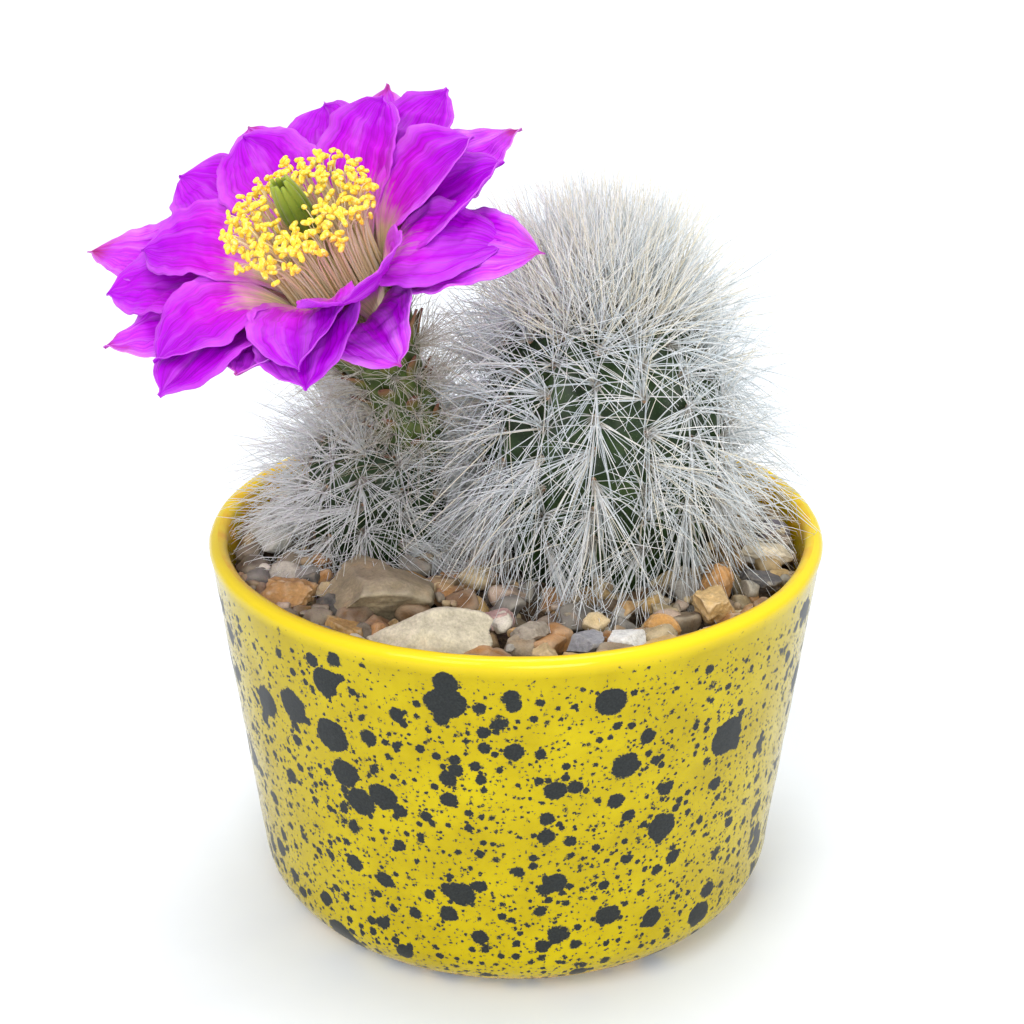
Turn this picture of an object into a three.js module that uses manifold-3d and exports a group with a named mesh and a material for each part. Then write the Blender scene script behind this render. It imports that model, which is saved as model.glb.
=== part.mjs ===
// A round hedgehog cactus with one offset and one open flower, in a glazed stoneware pot
// topped with gravel. Millimetres, +Z up, origin at the centre of the pot's flat underside.
// +X is the main stem's side, -X the flower's side, -Y the front.
import * as THREE from "three";
import { mergeVertices } from "three/addons/utils/BufferGeometryUtils.js";
import Module from "manifold-3d";

// ---- driving dimensions ----
const CLEARANCE = 0.3; // gap kept between pieces that touch

// pot: a plain tapered tumbler shape with a round lip and a rounded foot edge
const POT_HEIGHT = 64;
const POT_RIM_RADIUS = 50;
const POT_BASE_RADIUS = 43.5; // where the straight side meets the foot curve
const POT_WALL = 3;
const POT_FLOOR = 5;
const POT_FOOT_CURVE = 10;
const POT_LIP_ROUND = 1.5;

// fillings
const RIM_TO_GRAVEL = 4.5; // lip down to the highest bedding gravel
const GRAVEL_DEPTH = 9;
const GRAVEL_BUMP = 1.6;

// stems: places in plan, and sizes above the gravel
const MAIN = { x: 14, y: 3, radius: 21, height: 43.5, root: 34, ribs: 15, ribDepth: 1.8 };
const MAIN_SPINES = { side: 6.5, crown: 16 };
const OFFSET = { x: -23, y: 5, radius: 12.5, height: 20.5, root: 22, ribs: 11, ribDepth: 1.3 };
const OFFSET_SPINES = { side: 6.5, crown: 6 };

// flower: grows from the offset's shoulder and leans out over the rim
const SEAT_BEARING = -21; // degrees in plan, from the offset's axis
const SEAT_DROP = 6; // below the offset's crown
const SEAT_SUNK = 3; // tube base below the offset's skin
const FLOWER_TILT = 32; // degrees away from upright
const FLOWER_BEARING = 227; // degrees in plan that the flower faces
const TUBE_LENGTH = 31;
const TUBE_BASE_RADIUS = 3.8;
const TUBE_RIM_RADIUS = 8.3;
const CUP_RADIUS = 4.6;
const CUP_DEPTH = 9;
const PETAL_THICKNESS = 0.6;
// Each whorl: its first petal's bearing, its foot radius, how high its blades stand above the
// tube's rim, their width, and how far each petal reaches from the flower's axis.
const WHORLS = [
  {
    name: "outer_tepal",
    turn: 18,
    foot: 7.8,
    rise: 14,
    wide: 13.5,
    reaches: [35, 34, 34, 37, 36, 29, 31, 37],
  },
  {
    name: "middle_petal",
    turn: -4.5,
    foot: 6.6,
    rise: 17,
    wide: 15,
    reaches: [33, 34, 31, 35, 34, 33, 30, 30],
  },
  {
    name: "inner_petal",
    turn: 8,
    foot: 5.4,
    rise: 20,
    wide: 13,
    reaches: [29, 29, 28, 29, 29, 28, 28],
  },
];
const PETAL_FLARE = 6; // how fast a petal turns from upright to flat
const STAMEN_HEIGHT = 19;
const STAMEN_RADIUS = 12.5;
const STYLE_RADIUS = 1;
const STIGMA_RADIUS = 2.3;
const STIGMA_LENGTH = 9.5;

// loose stones on the gravel: bearing from the pot's axis, distance in from the wall,
// length, width and height, and turn from lying along the wall
const STONES = [
  { name: "limestone_front", bearing: 250.5, inset: 9.2, size: [16, 10, 8.5], turn: 8, colour: 0xc9c3b4 },
  { name: "sandstone_slab", bearing: 223, inset: 17.2, size: [16, 12, 9], turn: -20, colour: 0xbfa988 },
  { name: "pale_rock_left", bearing: 176, inset: 5.9, size: [10, 8, 7], turn: 0, colour: 0xc6c4bc },
  { name: "crumbly_brown_stone", bearing: 211, inset: 5, size: [7.5, 6.5, 5], turn: 50, colour: 0x9c7850 },
  { name: "ochre_splinter", bearing: 231.5, inset: 5.2, size: [7, 3.5, 3.2], turn: -30, colour: 0xa98a5c },
  { name: "grey_quartz", bearing: 273.5, inset: 12.5, size: [5.5, 5, 4], turn: 10, colour: 0x9a9488 },
  { name: "tan_pebble_front", bearing: 276.5, inset: 6.2, size: [5, 3.8, 3.2], turn: 70, colour: 0xb7a27d },
  { name: "grey_pebble_front", bearing: 286, inset: 7.6, size: [5, 4, 3.5], turn: 20, colour: 0x8d8d90 },
  { name: "white_pebble_front", bearing: 294.5, inset: 6.6, size: [5.5, 4, 3.2], turn: 5, colour: 0xd9d8d4 },
  { name: "pink_chip", bearing: 264, inset: 17.5, size: [4.5, 3.5, 3], turn: 40, colour: 0xb49a92 },
  { name: "orange_oval", bearing: 305, inset: 8.2, size: [5.5, 4.5, 4], turn: -35, colour: 0xb98c52 },
  { name: "tan_lump_right", bearing: 318.5, inset: 6.2, size: [8, 6.5, 6], turn: 35, colour: 0xc0a274 },
  { name: "tall_orange_stone", bearing: 332, inset: 10.6, size: [5.5, 5, 7], turn: 15, colour: 0xb98d5a },
  { name: "dark_grey_chip", bearing: 339.5, inset: 4.6, size: [6, 4.4, 3.6], turn: 60, colour: 0x5c5a5b },
  { name: "pale_chip_right", bearing: 353, inset: 5, size: [6.5, 5.5, 4], turn: 80, colour: 0xcbbfa8 },
  { name: "slate_chip_right", bearing: 5, inset: 3.6, size: [5, 4, 4], turn: 95, colour: 0x74707a },
  { name: "tan_stone_right", bearing: 15, inset: 7.4, size: [6, 5, 5], turn: 20, colour: 0xbfa077 },
  { name: "grey_rock_back_right", bearing: 50, inset: 7, size: [10, 8, 6], turn: 100, colour: 0xa19c93 },
  { name: "buff_rock_back", bearing: 104, inset: 8, size: [12, 9, 7], turn: 15, colour: 0xc2b190 },
  { name: "rust_stone_back_left", bearing: 138, inset: 6.5, size: [8, 6.5, 5.5], turn: 60, colour: 0x9a6a43 },
];
const STONE_SUNK = 0.3; // share of a stone's height that is bedded in the gravel

// ---- fits that follow from the dimensions ----
const gravelTop = POT_HEIGHT - RIM_TO_GRAVEL;
const mixTop = gravelTop - GRAVEL_DEPTH;
const SIDES = 40; // facets round the pot and its fillings
const SHOULDER = 0.75; // below 1, a dome's shoulders are fuller than an ellipse's

const wasm = await Module();
wasm.setup();

// ---- working functions ----
const radians = THREE.MathUtils.degToRad;
const smooth = THREE.MathUtils.smoothstep;

// A repeatable value from 0 to 1 for the whole numbers a and b.
function scatter(a, b) {
  const wave = Math.sin(a * 127.1 + b * 311.7 + 74.7) * 43758.5453;
  return wave - Math.floor(wave);
}

// The geometry with only its positions, shared vertices merged and collapsed faces dropped.
function welded(geometry) {
  const bare = geometry.clone();
  bare.deleteAttribute("normal");
  bare.deleteAttribute("uv");
  const merged = mergeVertices(bare, 1e-4);
  const kept = [];
  for (let i = 0; i < merged.index.count; i += 3) {
    const [a, b, c] = [0, 1, 2].map((k) => merged.index.getX(i + k));
    if (a !== b && b !== c && c !== a) kept.push(a, b, c);
  }
  return merged.setIndex(kept);
}

function solidOf(geometry) {
  const bare = welded(geometry);
  return new wasm.Manifold(
    new wasm.Mesh({
      numProp: 3,
      vertProperties: bare.attributes.position.array,
      triVerts: new Uint32Array(bare.index.array),
    }),
  );
}

function geometryOf(solid) {
  const mesh = solid.getMesh();
  return new THREE.BufferGeometry()
    .setAttribute("position", new THREE.BufferAttribute(mesh.vertProperties, 3))
    .setIndex(new THREE.BufferAttribute(mesh.triVerts, 1));
}

// Cuts each tool geometry out of the body geometry.
function cut(body, ...tools) {
  const solid = tools.reduce((left, tool) => left.subtract(solidOf(tool)), solidOf(body));
  return geometryOf(solid);
}

// Moves every vertex by the function, which changes the vector it is given.
function reshape(geometry, move) {
  const places = geometry.attributes.position;
  const point = new THREE.Vector3();
  for (let i = 0; i < places.count; i++) {
    move(point.fromBufferAttribute(places, i), i);
    places.setXYZ(i, point.x, point.y, point.z);
  }
  return geometry;
}

// Turns a profile of [radius, height] points, listed from the underside up, about +Z.
function turned(profile, sides = SIDES) {
  const points = profile.map(([radius, height]) => new THREE.Vector2(radius, height));
  return new THREE.LatheGeometry(points, sides).rotateX(Math.PI / 2);
}

// Points on a quarter turn from one angle to another, for rounded corners in a profile.
function roundCorner(centreRadius, centreHeight, bend, from, to, steps) {
  return Array.from({ length: steps + 1 }, (_, i) => {
    const angle = radians(from + ((to - from) * i) / steps);
    return [centreRadius + bend * Math.cos(angle), centreHeight + bend * Math.sin(angle)];
  });
}

// ---- pot ----
function potOuterRadius(height) {
  const share = (height - POT_FOOT_CURVE) / (POT_HEIGHT - POT_FOOT_CURVE);
  return POT_BASE_RADIUS + (POT_RIM_RADIUS - POT_BASE_RADIUS) * share;
}

const potInnerRadius = (height) => potOuterRadius(height) - POT_WALL;

// The cavity's outline from the floor's centre up the wall to a height, drawn in by a gap.
function cavityProfile(top, gap) {
  const bend = POT_FOOT_CURVE - POT_WALL;
  const floor = POT_FLOOR + gap;
  const corner = potInnerRadius(POT_FLOOR + bend) - bend;
  return [
    [0, floor],
    ...roundCorner(corner, floor + bend, bend - gap, -90, 0, 4).map(([r, h]) => [r, h - gap]),
    [potInnerRadius(top) - gap, top],
  ];
}

function makePot() {
  const foot = roundCorner(POT_BASE_RADIUS - POT_FOOT_CURVE, POT_FOOT_CURVE, POT_FOOT_CURVE, -90, 0, 4);
  const lipCentre = POT_RIM_RADIUS - POT_WALL / 2;
  const lipHeight = POT_HEIGHT - POT_LIP_ROUND;
  const lip = roundCorner(lipCentre, lipHeight, POT_LIP_ROUND, 0, 180, 4);
  const inside = cavityProfile(lipHeight - POT_WALL, 0).reverse();
  return turned([[0, 0], ...foot, ...lip, ...inside]);
}

// ---- stems ----
// A stem's outline from its root tip to its crown, swelled by a gap on every side.
function stemProfile(stem, gap = 0) {
  const belly = stem.height * 0.47; // height of the widest place above the gravel
  const waist = [
    [0, -stem.root - gap],
    [stem.radius * 0.12 + gap, -stem.root * 0.93 - gap],
    [stem.radius * 0.24 + gap, -stem.root * 0.6],
    [stem.radius * 0.5 + gap, -stem.root * 0.32],
    [stem.radius * 0.76 + gap, -stem.root * 0.12],
    [stem.radius * 0.88 + gap, stem.height * 0.06],
    [stem.radius * 0.96 + gap, stem.height * 0.24],
  ];
  const dome = [];
  const steps = 7;
  for (let i = 0; i < steps; i++) {
    const angle = (Math.PI / 2) * (i / steps);
    const radius = stem.radius * Math.cos(angle) ** SHOULDER;
    dome.push([radius + gap, belly + (stem.height - belly + gap) * Math.sin(angle)]);
  }
  const crown = [[0, stem.height + gap]];
  return [...waist, ...dome, ...crown].map(([r, h]) => [r, h + gravelTop]);
}

// The stem's ribs run up from the gravel to the crown, with a swelling at each areole.
function makeStem(stem) {
  const areoleStep = 6;
  const geometry = turned(stemProfile(stem), stem.ribs * 2);
  reshape(geometry, (point) => {
    const radius = Math.hypot(point.x, point.y);
    const share = smooth(point.z, gravelTop - 4, gravelTop + 4) * Math.min(1, radius / (stem.radius * 0.5));
    const bearing = Math.atan2(point.y, point.x);
    const valley = 0.5 - 0.5 * Math.cos(bearing * stem.ribs);
    const swelling = 0.12 * (1 - Math.cos((2 * Math.PI * (point.z - gravelTop)) / areoleStep));
    const inward = 1 - (share * stem.ribDepth * (valley + swelling * (1 - valley))) / Math.max(radius, 1);
    point.x *= inward;
    point.y *= inward;
  });
  return geometry.translate(stem.x, stem.y, 0);
}

const stemGuard = (stem) => turned(stemProfile(stem, CLEARANCE), 32).translate(stem.x, stem.y, 0);

// The outer outline of a stem's spines, from the gravel to the top of the crown tuft.
function spineProfile(stem, spines, gap = 0) {
  const belly = stem.height * 0.42;
  const radius = stem.radius + spines.side + gap;
  const top = stem.height + spines.crown + gap;
  const profile = [
    [0, CLEARANCE - gap],
    [radius * 0.93, CLEARANCE - gap],
    [radius * 0.99, belly * 0.5],
  ];
  const steps = 8;
  for (let i = 0; i < steps; i++) {
    const angle = (Math.PI / 2) * (i / steps);
    profile.push([radius * Math.cos(angle) ** SHOULDER, belly + (top - belly) * Math.sin(angle)]);
  }
  profile.push([0, top]);
  return profile.map(([r, h]) => [r, h + gravelTop]);
}

function makeSpines(stem, spines, gap = 0) {
  return turned(spineProfile(stem, spines, gap), 28).translate(stem.x, stem.y, 0);
}

// ---- flower ----
// The flower's foot sits in the offset's shoulder, and its axis bends over to the flower's tilt.
const seatHeight = OFFSET.height - SEAT_DROP;
const seatBelly = OFFSET.height * 0.47;
const seatRise = Math.asin((seatHeight - seatBelly) / (OFFSET.height - seatBelly));
const seatRadius = OFFSET.radius * Math.cos(seatRise) ** SHOULDER - SEAT_SUNK;
const flowerSeat = new THREE.Vector3(
  OFFSET.x + seatRadius * Math.cos(radians(SEAT_BEARING)),
  OFFSET.y + seatRadius * Math.sin(radians(SEAT_BEARING)),
  gravelTop + seatHeight,
);
// A direction at a tilt from upright, in the vertical plane of a bearing.
function leaning(tilt, bearing) {
  const out = Math.sin(radians(tilt));
  return new THREE.Vector3(
    out * Math.cos(radians(bearing)),
    out * Math.sin(radians(bearing)),
    Math.cos(radians(tilt)),
  );
}

const flowerAxis = leaning(FLOWER_TILT, FLOWER_BEARING);
const leaveAxis = leaning(FLOWER_TILT * 0.6, FLOWER_BEARING);
const tubeBend = flowerSeat.clone().addScaledVector(leaveAxis, TUBE_LENGTH / 2);
const tubeRim = tubeBend.clone().addScaledVector(flowerAxis, TUBE_LENGTH / 2);
const tubeCurve = new THREE.QuadraticBezierCurve3(flowerSeat, tubeBend, tubeRim);

// The tube's radius from its foot (0) to its rim (1): ovary, waist, then the throat's flare.
function tubeRadius(share) {
  const ovary = 1.5 * Math.sin(Math.PI * Math.min(1, share / 0.5)) ** 2;
  const flare = (TUBE_RIM_RADIUS - TUBE_BASE_RADIUS) * share ** 2;
  return TUBE_BASE_RADIUS + ovary + flare;
}

// A solid turned about +Z from height 0, bent so that its axis follows the tube's curve.
function bentAlongTube(geometry) {
  const length = tubeCurve.getLength();
  const across = new THREE.Vector3(-Math.sin(radians(FLOWER_BEARING)), Math.cos(radians(FLOWER_BEARING)), 0);
  return reshape(geometry, (point) => {
    const along = THREE.MathUtils.clamp(point.z / length, 0, 1);
    const tangent = tubeCurve.getTangentAt(along);
    const outward = new THREE.Vector3().crossVectors(across, tangent);
    const { x, y, z } = point;
    point.copy(tubeCurve.getPointAt(along));
    point.addScaledVector(tangent, z - along * length);
    point.addScaledVector(outward, x).addScaledVector(across, y);
  });
}

function tubeSolid(gap, sides) {
  const length = tubeCurve.getLength() - CLEARANCE;
  const steps = 12;
  const profile = [[0, -gap]];
  for (let i = 0; i <= steps; i++) {
    profile.push([tubeRadius(i / steps) + gap, (length + gap * 2) * (i / steps) - gap]);
  }
  profile.push([0, length + gap]);
  return turned(profile, sides);
}

// Pointed scales run round the tube in rows, and the cup at its top holds stamens and style.
function makeTube() {
  const scaleRows = 5;
  const scalesRound = 7;
  const scaleHeight = 0.5;
  const body = tubeSolid(0, scalesRound * 2);
  const length = tubeCurve.getLength();
  reshape(body, (point) => {
    const radius = Math.hypot(point.x, point.y);
    if (radius < TUBE_BASE_RADIUS / 2) return;
    const row = (point.z / length) * scaleRows;
    const turn = Math.atan2(point.y, point.x) * scalesRound + Math.PI * Math.floor(row);
    const lift = 1 - scaleHeight * (0.5 - 0.5 * Math.cos(turn)) * (row % 1) / radius;
    point.x *= lift;
    point.y *= lift;
  });
  const cup = turned([
    [0, length - CUP_DEPTH],
    [CUP_RADIUS * 0.7, length - CUP_DEPTH],
    [CUP_RADIUS, length - CUP_DEPTH * 0.7],
    [CUP_RADIUS, length + 1],
    [0, length + 1],
  ], 20);
  return cut(bentAlongTube(body), bentAlongTube(cup));
}

const tubeGuard = () => bentAlongTube(tubeSolid(CLEARANCE, 20));

// Height of a whorl's petal sheet above the tube's rim, at a radius from the flower's axis.
const petalHeight = (whorl, radius) => whorl.rise * (1 - Math.exp((whorl.foot - radius) / PETAL_FLARE));

// A petal is a curved sheet of even thickness: narrow foot, broad blade, pointed tip. It stays
// inside its own sector, so that neighbours in a whorl keep the clearance between them.
function makePetal(whorl, index) {
  const bearing = radians(whorl.turn) + (2 * Math.PI * index) / whorl.reaches.length;
  const reach = whorl.reaches[index];
  return reshape(new THREE.BoxGeometry(1, 1, 1, 3, 6, 1), (point) => {
    const share = (point.y + 0.5) ** 1.3;
    const radius = whorl.foot + (reach - whorl.foot) * share;
    const sector = (Math.PI * radius) / whorl.reaches.length - CLEARANCE / 2;
    const blade = 0.3 + (whorl.wide / 2) * smooth(share, -0.15, 0.6) * (1 - share ** 6) ** 0.6;
    const halfWidth = Math.min(blade, sector);
    const slope = (whorl.rise / PETAL_FLARE) * Math.exp((whorl.foot - radius) / PETAL_FLARE);
    const lift = (point.z * PETAL_THICKNESS) / Math.hypot(slope, 1);
    const outward = radius - slope * lift;
    const angle = bearing - (point.x * 2 * halfWidth) / radius;
    point.set(outward * Math.cos(angle), outward * Math.sin(angle), petalHeight(whorl, radius) + lift);
  });
}

// The stamens stand as one bushy ring just inside the innermost petals.
function makeStamens() {
  const inner = WHORLS[WHORLS.length - 1];
  const spread = inner.foot - (PETAL_THICKNESS + CLEARANCE);
  const foot = CLEARANCE - CUP_DEPTH;
  const wall = CUP_RADIUS - CLEARANCE;
  const styleRoom = STYLE_RADIUS + CLEARANCE;
  const profile = [
    [styleRoom, foot],
    [wall * 0.65, foot],
    [wall, foot + CUP_DEPTH * 0.35],
    [wall, 0],
  ];
  for (const height of [4, 8, 11, 14]) {
    profile.push([spread - PETAL_FLARE * Math.log(1 - height / inner.rise), height]);
  }
  profile.push([STAMEN_RADIUS, STAMEN_HEIGHT - 2.5]);
  profile.push([STAMEN_RADIUS * 0.9, STAMEN_HEIGHT]);
  profile.push([STAMEN_RADIUS * 0.6, STAMEN_HEIGHT + 1]);
  profile.push([STIGMA_RADIUS + CLEARANCE * 2, STAMEN_HEIGHT - 2]);
  profile.push([styleRoom + CLEARANCE, STAMEN_HEIGHT - 6]);
  profile.push([styleRoom, foot]);
  return turned(profile, 24);
}

// The style rises from the cup's floor to a closed bundle of stigma lobes.
function makePistil() {
  const foot = CLEARANCE - CUP_DEPTH;
  const neck = STAMEN_HEIGHT - 4;
  const profile = [
    [0, foot],
    [STYLE_RADIUS, foot],
    [STYLE_RADIUS, neck],
    [STIGMA_RADIUS * 0.8, neck + STIGMA_LENGTH * 0.15],
    [STIGMA_RADIUS, neck + STIGMA_LENGTH * 0.4],
    [STIGMA_RADIUS * 0.85, neck + STIGMA_LENGTH * 0.8],
    [STIGMA_RADIUS * 0.4, neck + STIGMA_LENGTH * 0.98],
    [0, neck + STIGMA_LENGTH],
  ];
  const lobes = 9;
  return reshape(turned(profile, lobes * 2), (point) => {
    if (point.z < neck + 0.1) return;
    const groove = 1 - 0.1 * (1 - Math.cos(Math.atan2(point.y, point.x) * lobes));
    point.x *= groove;
    point.y *= groove;
  });
}

// ---- stones and fillings ----
// A broken stone: a twelve-sided lump with uneven corners, bedded in the gravel by a share.
function makeStone(stone, index, gap = 0) {
  const lump = welded(new THREE.DodecahedronGeometry(0.5));
  const [length, width, height] = stone.size;
  reshape(lump, (point, corner) => {
    point.multiplyScalar(0.84 + 0.32 * scatter(index, corner));
    point.multiply({ x: length + 2 * gap, y: width + 2 * gap, z: height + 2 * gap });
  });
  const reach = potInnerRadius(gravelTop) - stone.inset;
  lump.rotateZ(radians(stone.bearing + 90 + stone.turn));
  return lump.translate(
    reach * Math.cos(radians(stone.bearing)),
    reach * Math.sin(radians(stone.bearing)),
    gravelTop + height * (0.5 - STONE_SUNK),
  );
}

const stoneGuards = () => STONES.map((stone, index) => makeStone(stone, index, CLEARANCE * 1.5));
const stemGuards = () => [stemGuard(MAIN), stemGuard(OFFSET)];

// A ring that keeps spines off the pot's wall and lip.
function wallGuard() {
  const low = POT_HEIGHT / 2;
  const high = POT_HEIGHT + CLEARANCE;
  const outside = POT_RIM_RADIUS + CLEARANCE;
  return turned([
    [potInnerRadius(low) - CLEARANCE, low],
    [outside, low],
    [outside, high],
    [potInnerRadius(POT_HEIGHT) - CLEARANCE, high],
    [potInnerRadius(low) - CLEARANCE, low],
  ]);
}

function makeMix() {
  const top = mixTop - CLEARANCE;
  const plug = turned([...cavityProfile(top, CLEARANCE), [0, top]]);
  return cut(plug, ...stemGuards());
}

// The bedding gravel: a layer with a lumpy top, hollowed where stones and stems sit in it.
function makeGravel() {
  const rings = 9;
  const rim = potInnerRadius(gravelTop) - CLEARANCE;
  const profile = [
    [0, mixTop],
    [potInnerRadius(mixTop) - CLEARANCE, mixTop],
  ];
  for (let i = rings; i >= 0; i--) profile.push([(rim * i) / rings, gravelTop]);
  const layer = reshape(welded(turned(profile, 36)), (point, corner) => {
    const lumpy = point.z > gravelTop - 0.1 && Math.hypot(point.x, point.y) < rim - 0.1;
    if (lumpy) point.z -= GRAVEL_BUMP * scatter(corner, 3);
  });
  return cut(layer, ...stemGuards(), ...stoneGuards());
}

function makeMainSpines() {
  return cut(makeSpines(MAIN, MAIN_SPINES), ...stemGuards(), tubeGuard(), wallGuard(), ...stoneGuards());
}

function makeOffsetSpines() {
  const mainGuard = makeSpines(MAIN, MAIN_SPINES, CLEARANCE);
  return cut(
    makeSpines(OFFSET, OFFSET_SPINES),
    stemGuard(OFFSET),
    mainGuard,
    tubeGuard(),
    wallGuard(),
    ...stoneGuards(),
  );
}

// ---- the assembly ----
function piece(name, geometry, colour, roughness) {
  const material = new THREE.MeshStandardMaterial({ color: colour, roughness, metalness: 0 });
  const mesh = new THREE.Mesh(geometry, material);
  mesh.name = name;
  return mesh;
}

const plant = new THREE.Group();
plant.add(
  piece("pot", makePot(), 0xe8d40a, 0.15),
  piece("potting_mix", makeMix(), 0x3b2a1e, 0.95),
  piece("gravel_bed", makeGravel(), 0xa58f6c, 0.85),
  piece("main_stem", makeStem(MAIN), 0x3e5a34, 0.5),
  piece("offset_stem", cut(makeStem(OFFSET), tubeGuard()), 0x3e5a34, 0.5),
  piece("main_spines", makeMainSpines(), 0xe6e6e4, 0.6),
  piece("offset_spines", makeOffsetSpines(), 0xd9d9d8, 0.6),
  piece("flower_tube", makeTube(), 0x5f7a3c, 0.5),
);
STONES.forEach((stone, index) => {
  plant.add(piece(stone.name, makeStone(stone, index), stone.colour, 0.8));
});

const flower = new THREE.Group();
flower.position.copy(tubeRim);
flower.quaternion.setFromUnitVectors(new THREE.Vector3(0, 0, 1), flowerAxis);
for (const whorl of WHORLS) {
  whorl.reaches.forEach((_, index) => {
    flower.add(piece(`${whorl.name}_${index + 1}`, makePetal(whorl, index), 0xc010e0, 0.5));
  });
}
flower.add(piece("stamens", makeStamens(), 0xf2d21a, 0.6));
flower.add(piece("pistil", makePistil(), 0x5e8a20, 0.45));
plant.add(flower);

export default plant;
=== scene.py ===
"""A round hedgehog cactus with one offset and an open flower, in a splatter-glazed stoneware pot.

Lengths in this file are millimetres until a mesh is made; MM turns them into metres.
"""

import math

import bmesh
import bpy
import numpy as np
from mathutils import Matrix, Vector


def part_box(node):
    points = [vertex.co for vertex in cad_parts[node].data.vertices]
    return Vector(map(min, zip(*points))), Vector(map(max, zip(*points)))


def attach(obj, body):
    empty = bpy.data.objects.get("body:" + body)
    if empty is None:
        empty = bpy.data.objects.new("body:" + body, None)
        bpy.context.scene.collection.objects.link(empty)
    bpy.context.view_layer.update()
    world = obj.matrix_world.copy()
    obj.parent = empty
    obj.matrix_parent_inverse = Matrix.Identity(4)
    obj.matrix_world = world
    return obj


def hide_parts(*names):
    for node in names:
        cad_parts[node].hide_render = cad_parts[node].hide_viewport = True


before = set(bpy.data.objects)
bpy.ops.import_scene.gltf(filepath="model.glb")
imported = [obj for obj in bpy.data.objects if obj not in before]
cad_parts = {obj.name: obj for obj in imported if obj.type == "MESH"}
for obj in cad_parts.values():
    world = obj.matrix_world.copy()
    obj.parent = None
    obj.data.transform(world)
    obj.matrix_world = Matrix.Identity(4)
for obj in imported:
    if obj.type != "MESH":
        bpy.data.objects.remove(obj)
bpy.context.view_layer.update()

MM = 0.001
UP = np.array([0.0, 0.0, 1.0])
TURN = 2 * math.pi


# ---------------------------------------------------------------- small tools
def linear(hex_colour):
    """An sRGB hex colour as the linear red, green, blue and alpha that shaders take."""
    parts = [int(hex_colour[i : i + 2], 16) / 255 for i in (1, 3, 5)]
    return tuple(c / 12.92 if c <= 0.04045 else ((c + 0.055) / 1.055) ** 2.4 for c in parts) + (1.0,)


def add(tree, kind, inputs=None, stops=None, **settings):
    """Adds a shader node: inputs holds a value, a colour's hex or another node's output for each
    socket, stops holds a colour ramp's places and hex colours, and settings the node's own options."""
    node = tree.nodes.new("ShaderNode" + kind)
    for name, value in settings.items():
        setattr(node, name, value)
    for socket, value in (inputs or {}).items():
        if isinstance(value, bpy.types.Node):
            value = value.outputs[0]
        if isinstance(value, bpy.types.NodeSocket):
            tree.links.new(value, node.inputs[socket])
        else:
            node.inputs[socket].default_value = linear(value) if isinstance(value, str) else value
    if stops:
        ramp = node.color_ramp
        while len(ramp.elements) < len(stops):
            ramp.elements.new(0.5)
        for element, (place, colour) in zip(ramp.elements, stops):
            element.position = place
            element.color = linear(colour)
    return node


def surface(name, **sockets):
    """A new material, its node tree and its Principled shader with constant sockets set."""
    material = bpy.data.materials.new(name)
    material.use_nodes = True
    tree = material.node_tree
    shader = tree.nodes["Principled BSDF"]
    for socket, value in sockets.items():
        shader.inputs[socket.replace("_", " ")].default_value = value
    return material, tree, shader


def in_mm(tree):
    """The place on the object in millimetres, so that a pattern's scale is its repeats per mm."""
    place = add(tree, "TexCoord").outputs["Object"]
    return add(tree, "VectorMath", {0: place, 1: (1 / MM, 1 / MM, 1 / MM)}, operation="MULTIPLY")


def span(value, low, high, to_low=0.0, to_high=1.0):
    """Inputs of a map range node that turns low..high into to_low..to_high."""
    return {"Value": value, "From Min": low, "From Max": high, "To Min": to_low, "To Max": to_high}


def covered(tree, colour, *layers):
    """A colour with others laid over it in turn, each given as its share and its colour."""
    for share, over in layers:
        mixed = add(tree, "Mix", {"Factor": share, "A": colour, "B": over}, data_type="RGBA")
        colour = mixed.outputs["Result"]
    return colour


def painted_values(tree):
    """The three values that were painted on each vertex as its tint."""
    tint = add(tree, "Attribute", attribute_name="tint").outputs["Color"]
    return add(tree, "SeparateColor", {"Color": tint}).outputs


def dress(tree, shader, colour, height=None, strength=0.0, depth=0.0):
    """Gives the shader its colour and, where a height is given, a bump of that depth in metres."""
    colour = colour.outputs[0] if isinstance(colour, bpy.types.Node) else colour
    tree.links.new(colour, shader.inputs["Base Color"])
    if height is not None:
        bump = add(tree, "Bump", {"Height": height, "Strength": strength, "Distance": depth})
        tree.links.new(bump.outputs["Normal"], shader.inputs["Normal"])


def unit(vectors):
    return vectors / np.maximum(np.linalg.norm(vectors, axis=-1, keepdims=True), 1e-9)


def smoothstep(low, high, value):
    share = np.clip((value - low) / (high - low), 0, 1)
    return share * share * (3 - 2 * share)


def wavy(points, wavelength, seed):
    """Smooth noise between about -1 and 1 at points in mm, from a few crossed waves."""
    rng = np.random.default_rng(seed)
    total = 0
    for share in (1.0, 0.83, 0.61, 0.47):
        direction = unit(rng.normal(size=3))
        across = unit(rng.normal(size=3))
        phase = rng.uniform(0, TURN, 2)
        reach = TURN / (wavelength * share)
        total = total + np.sin(
            points @ direction * reach + phase[0] + np.sin(points @ across * reach + phase[1])
        )
    return total / 3


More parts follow.
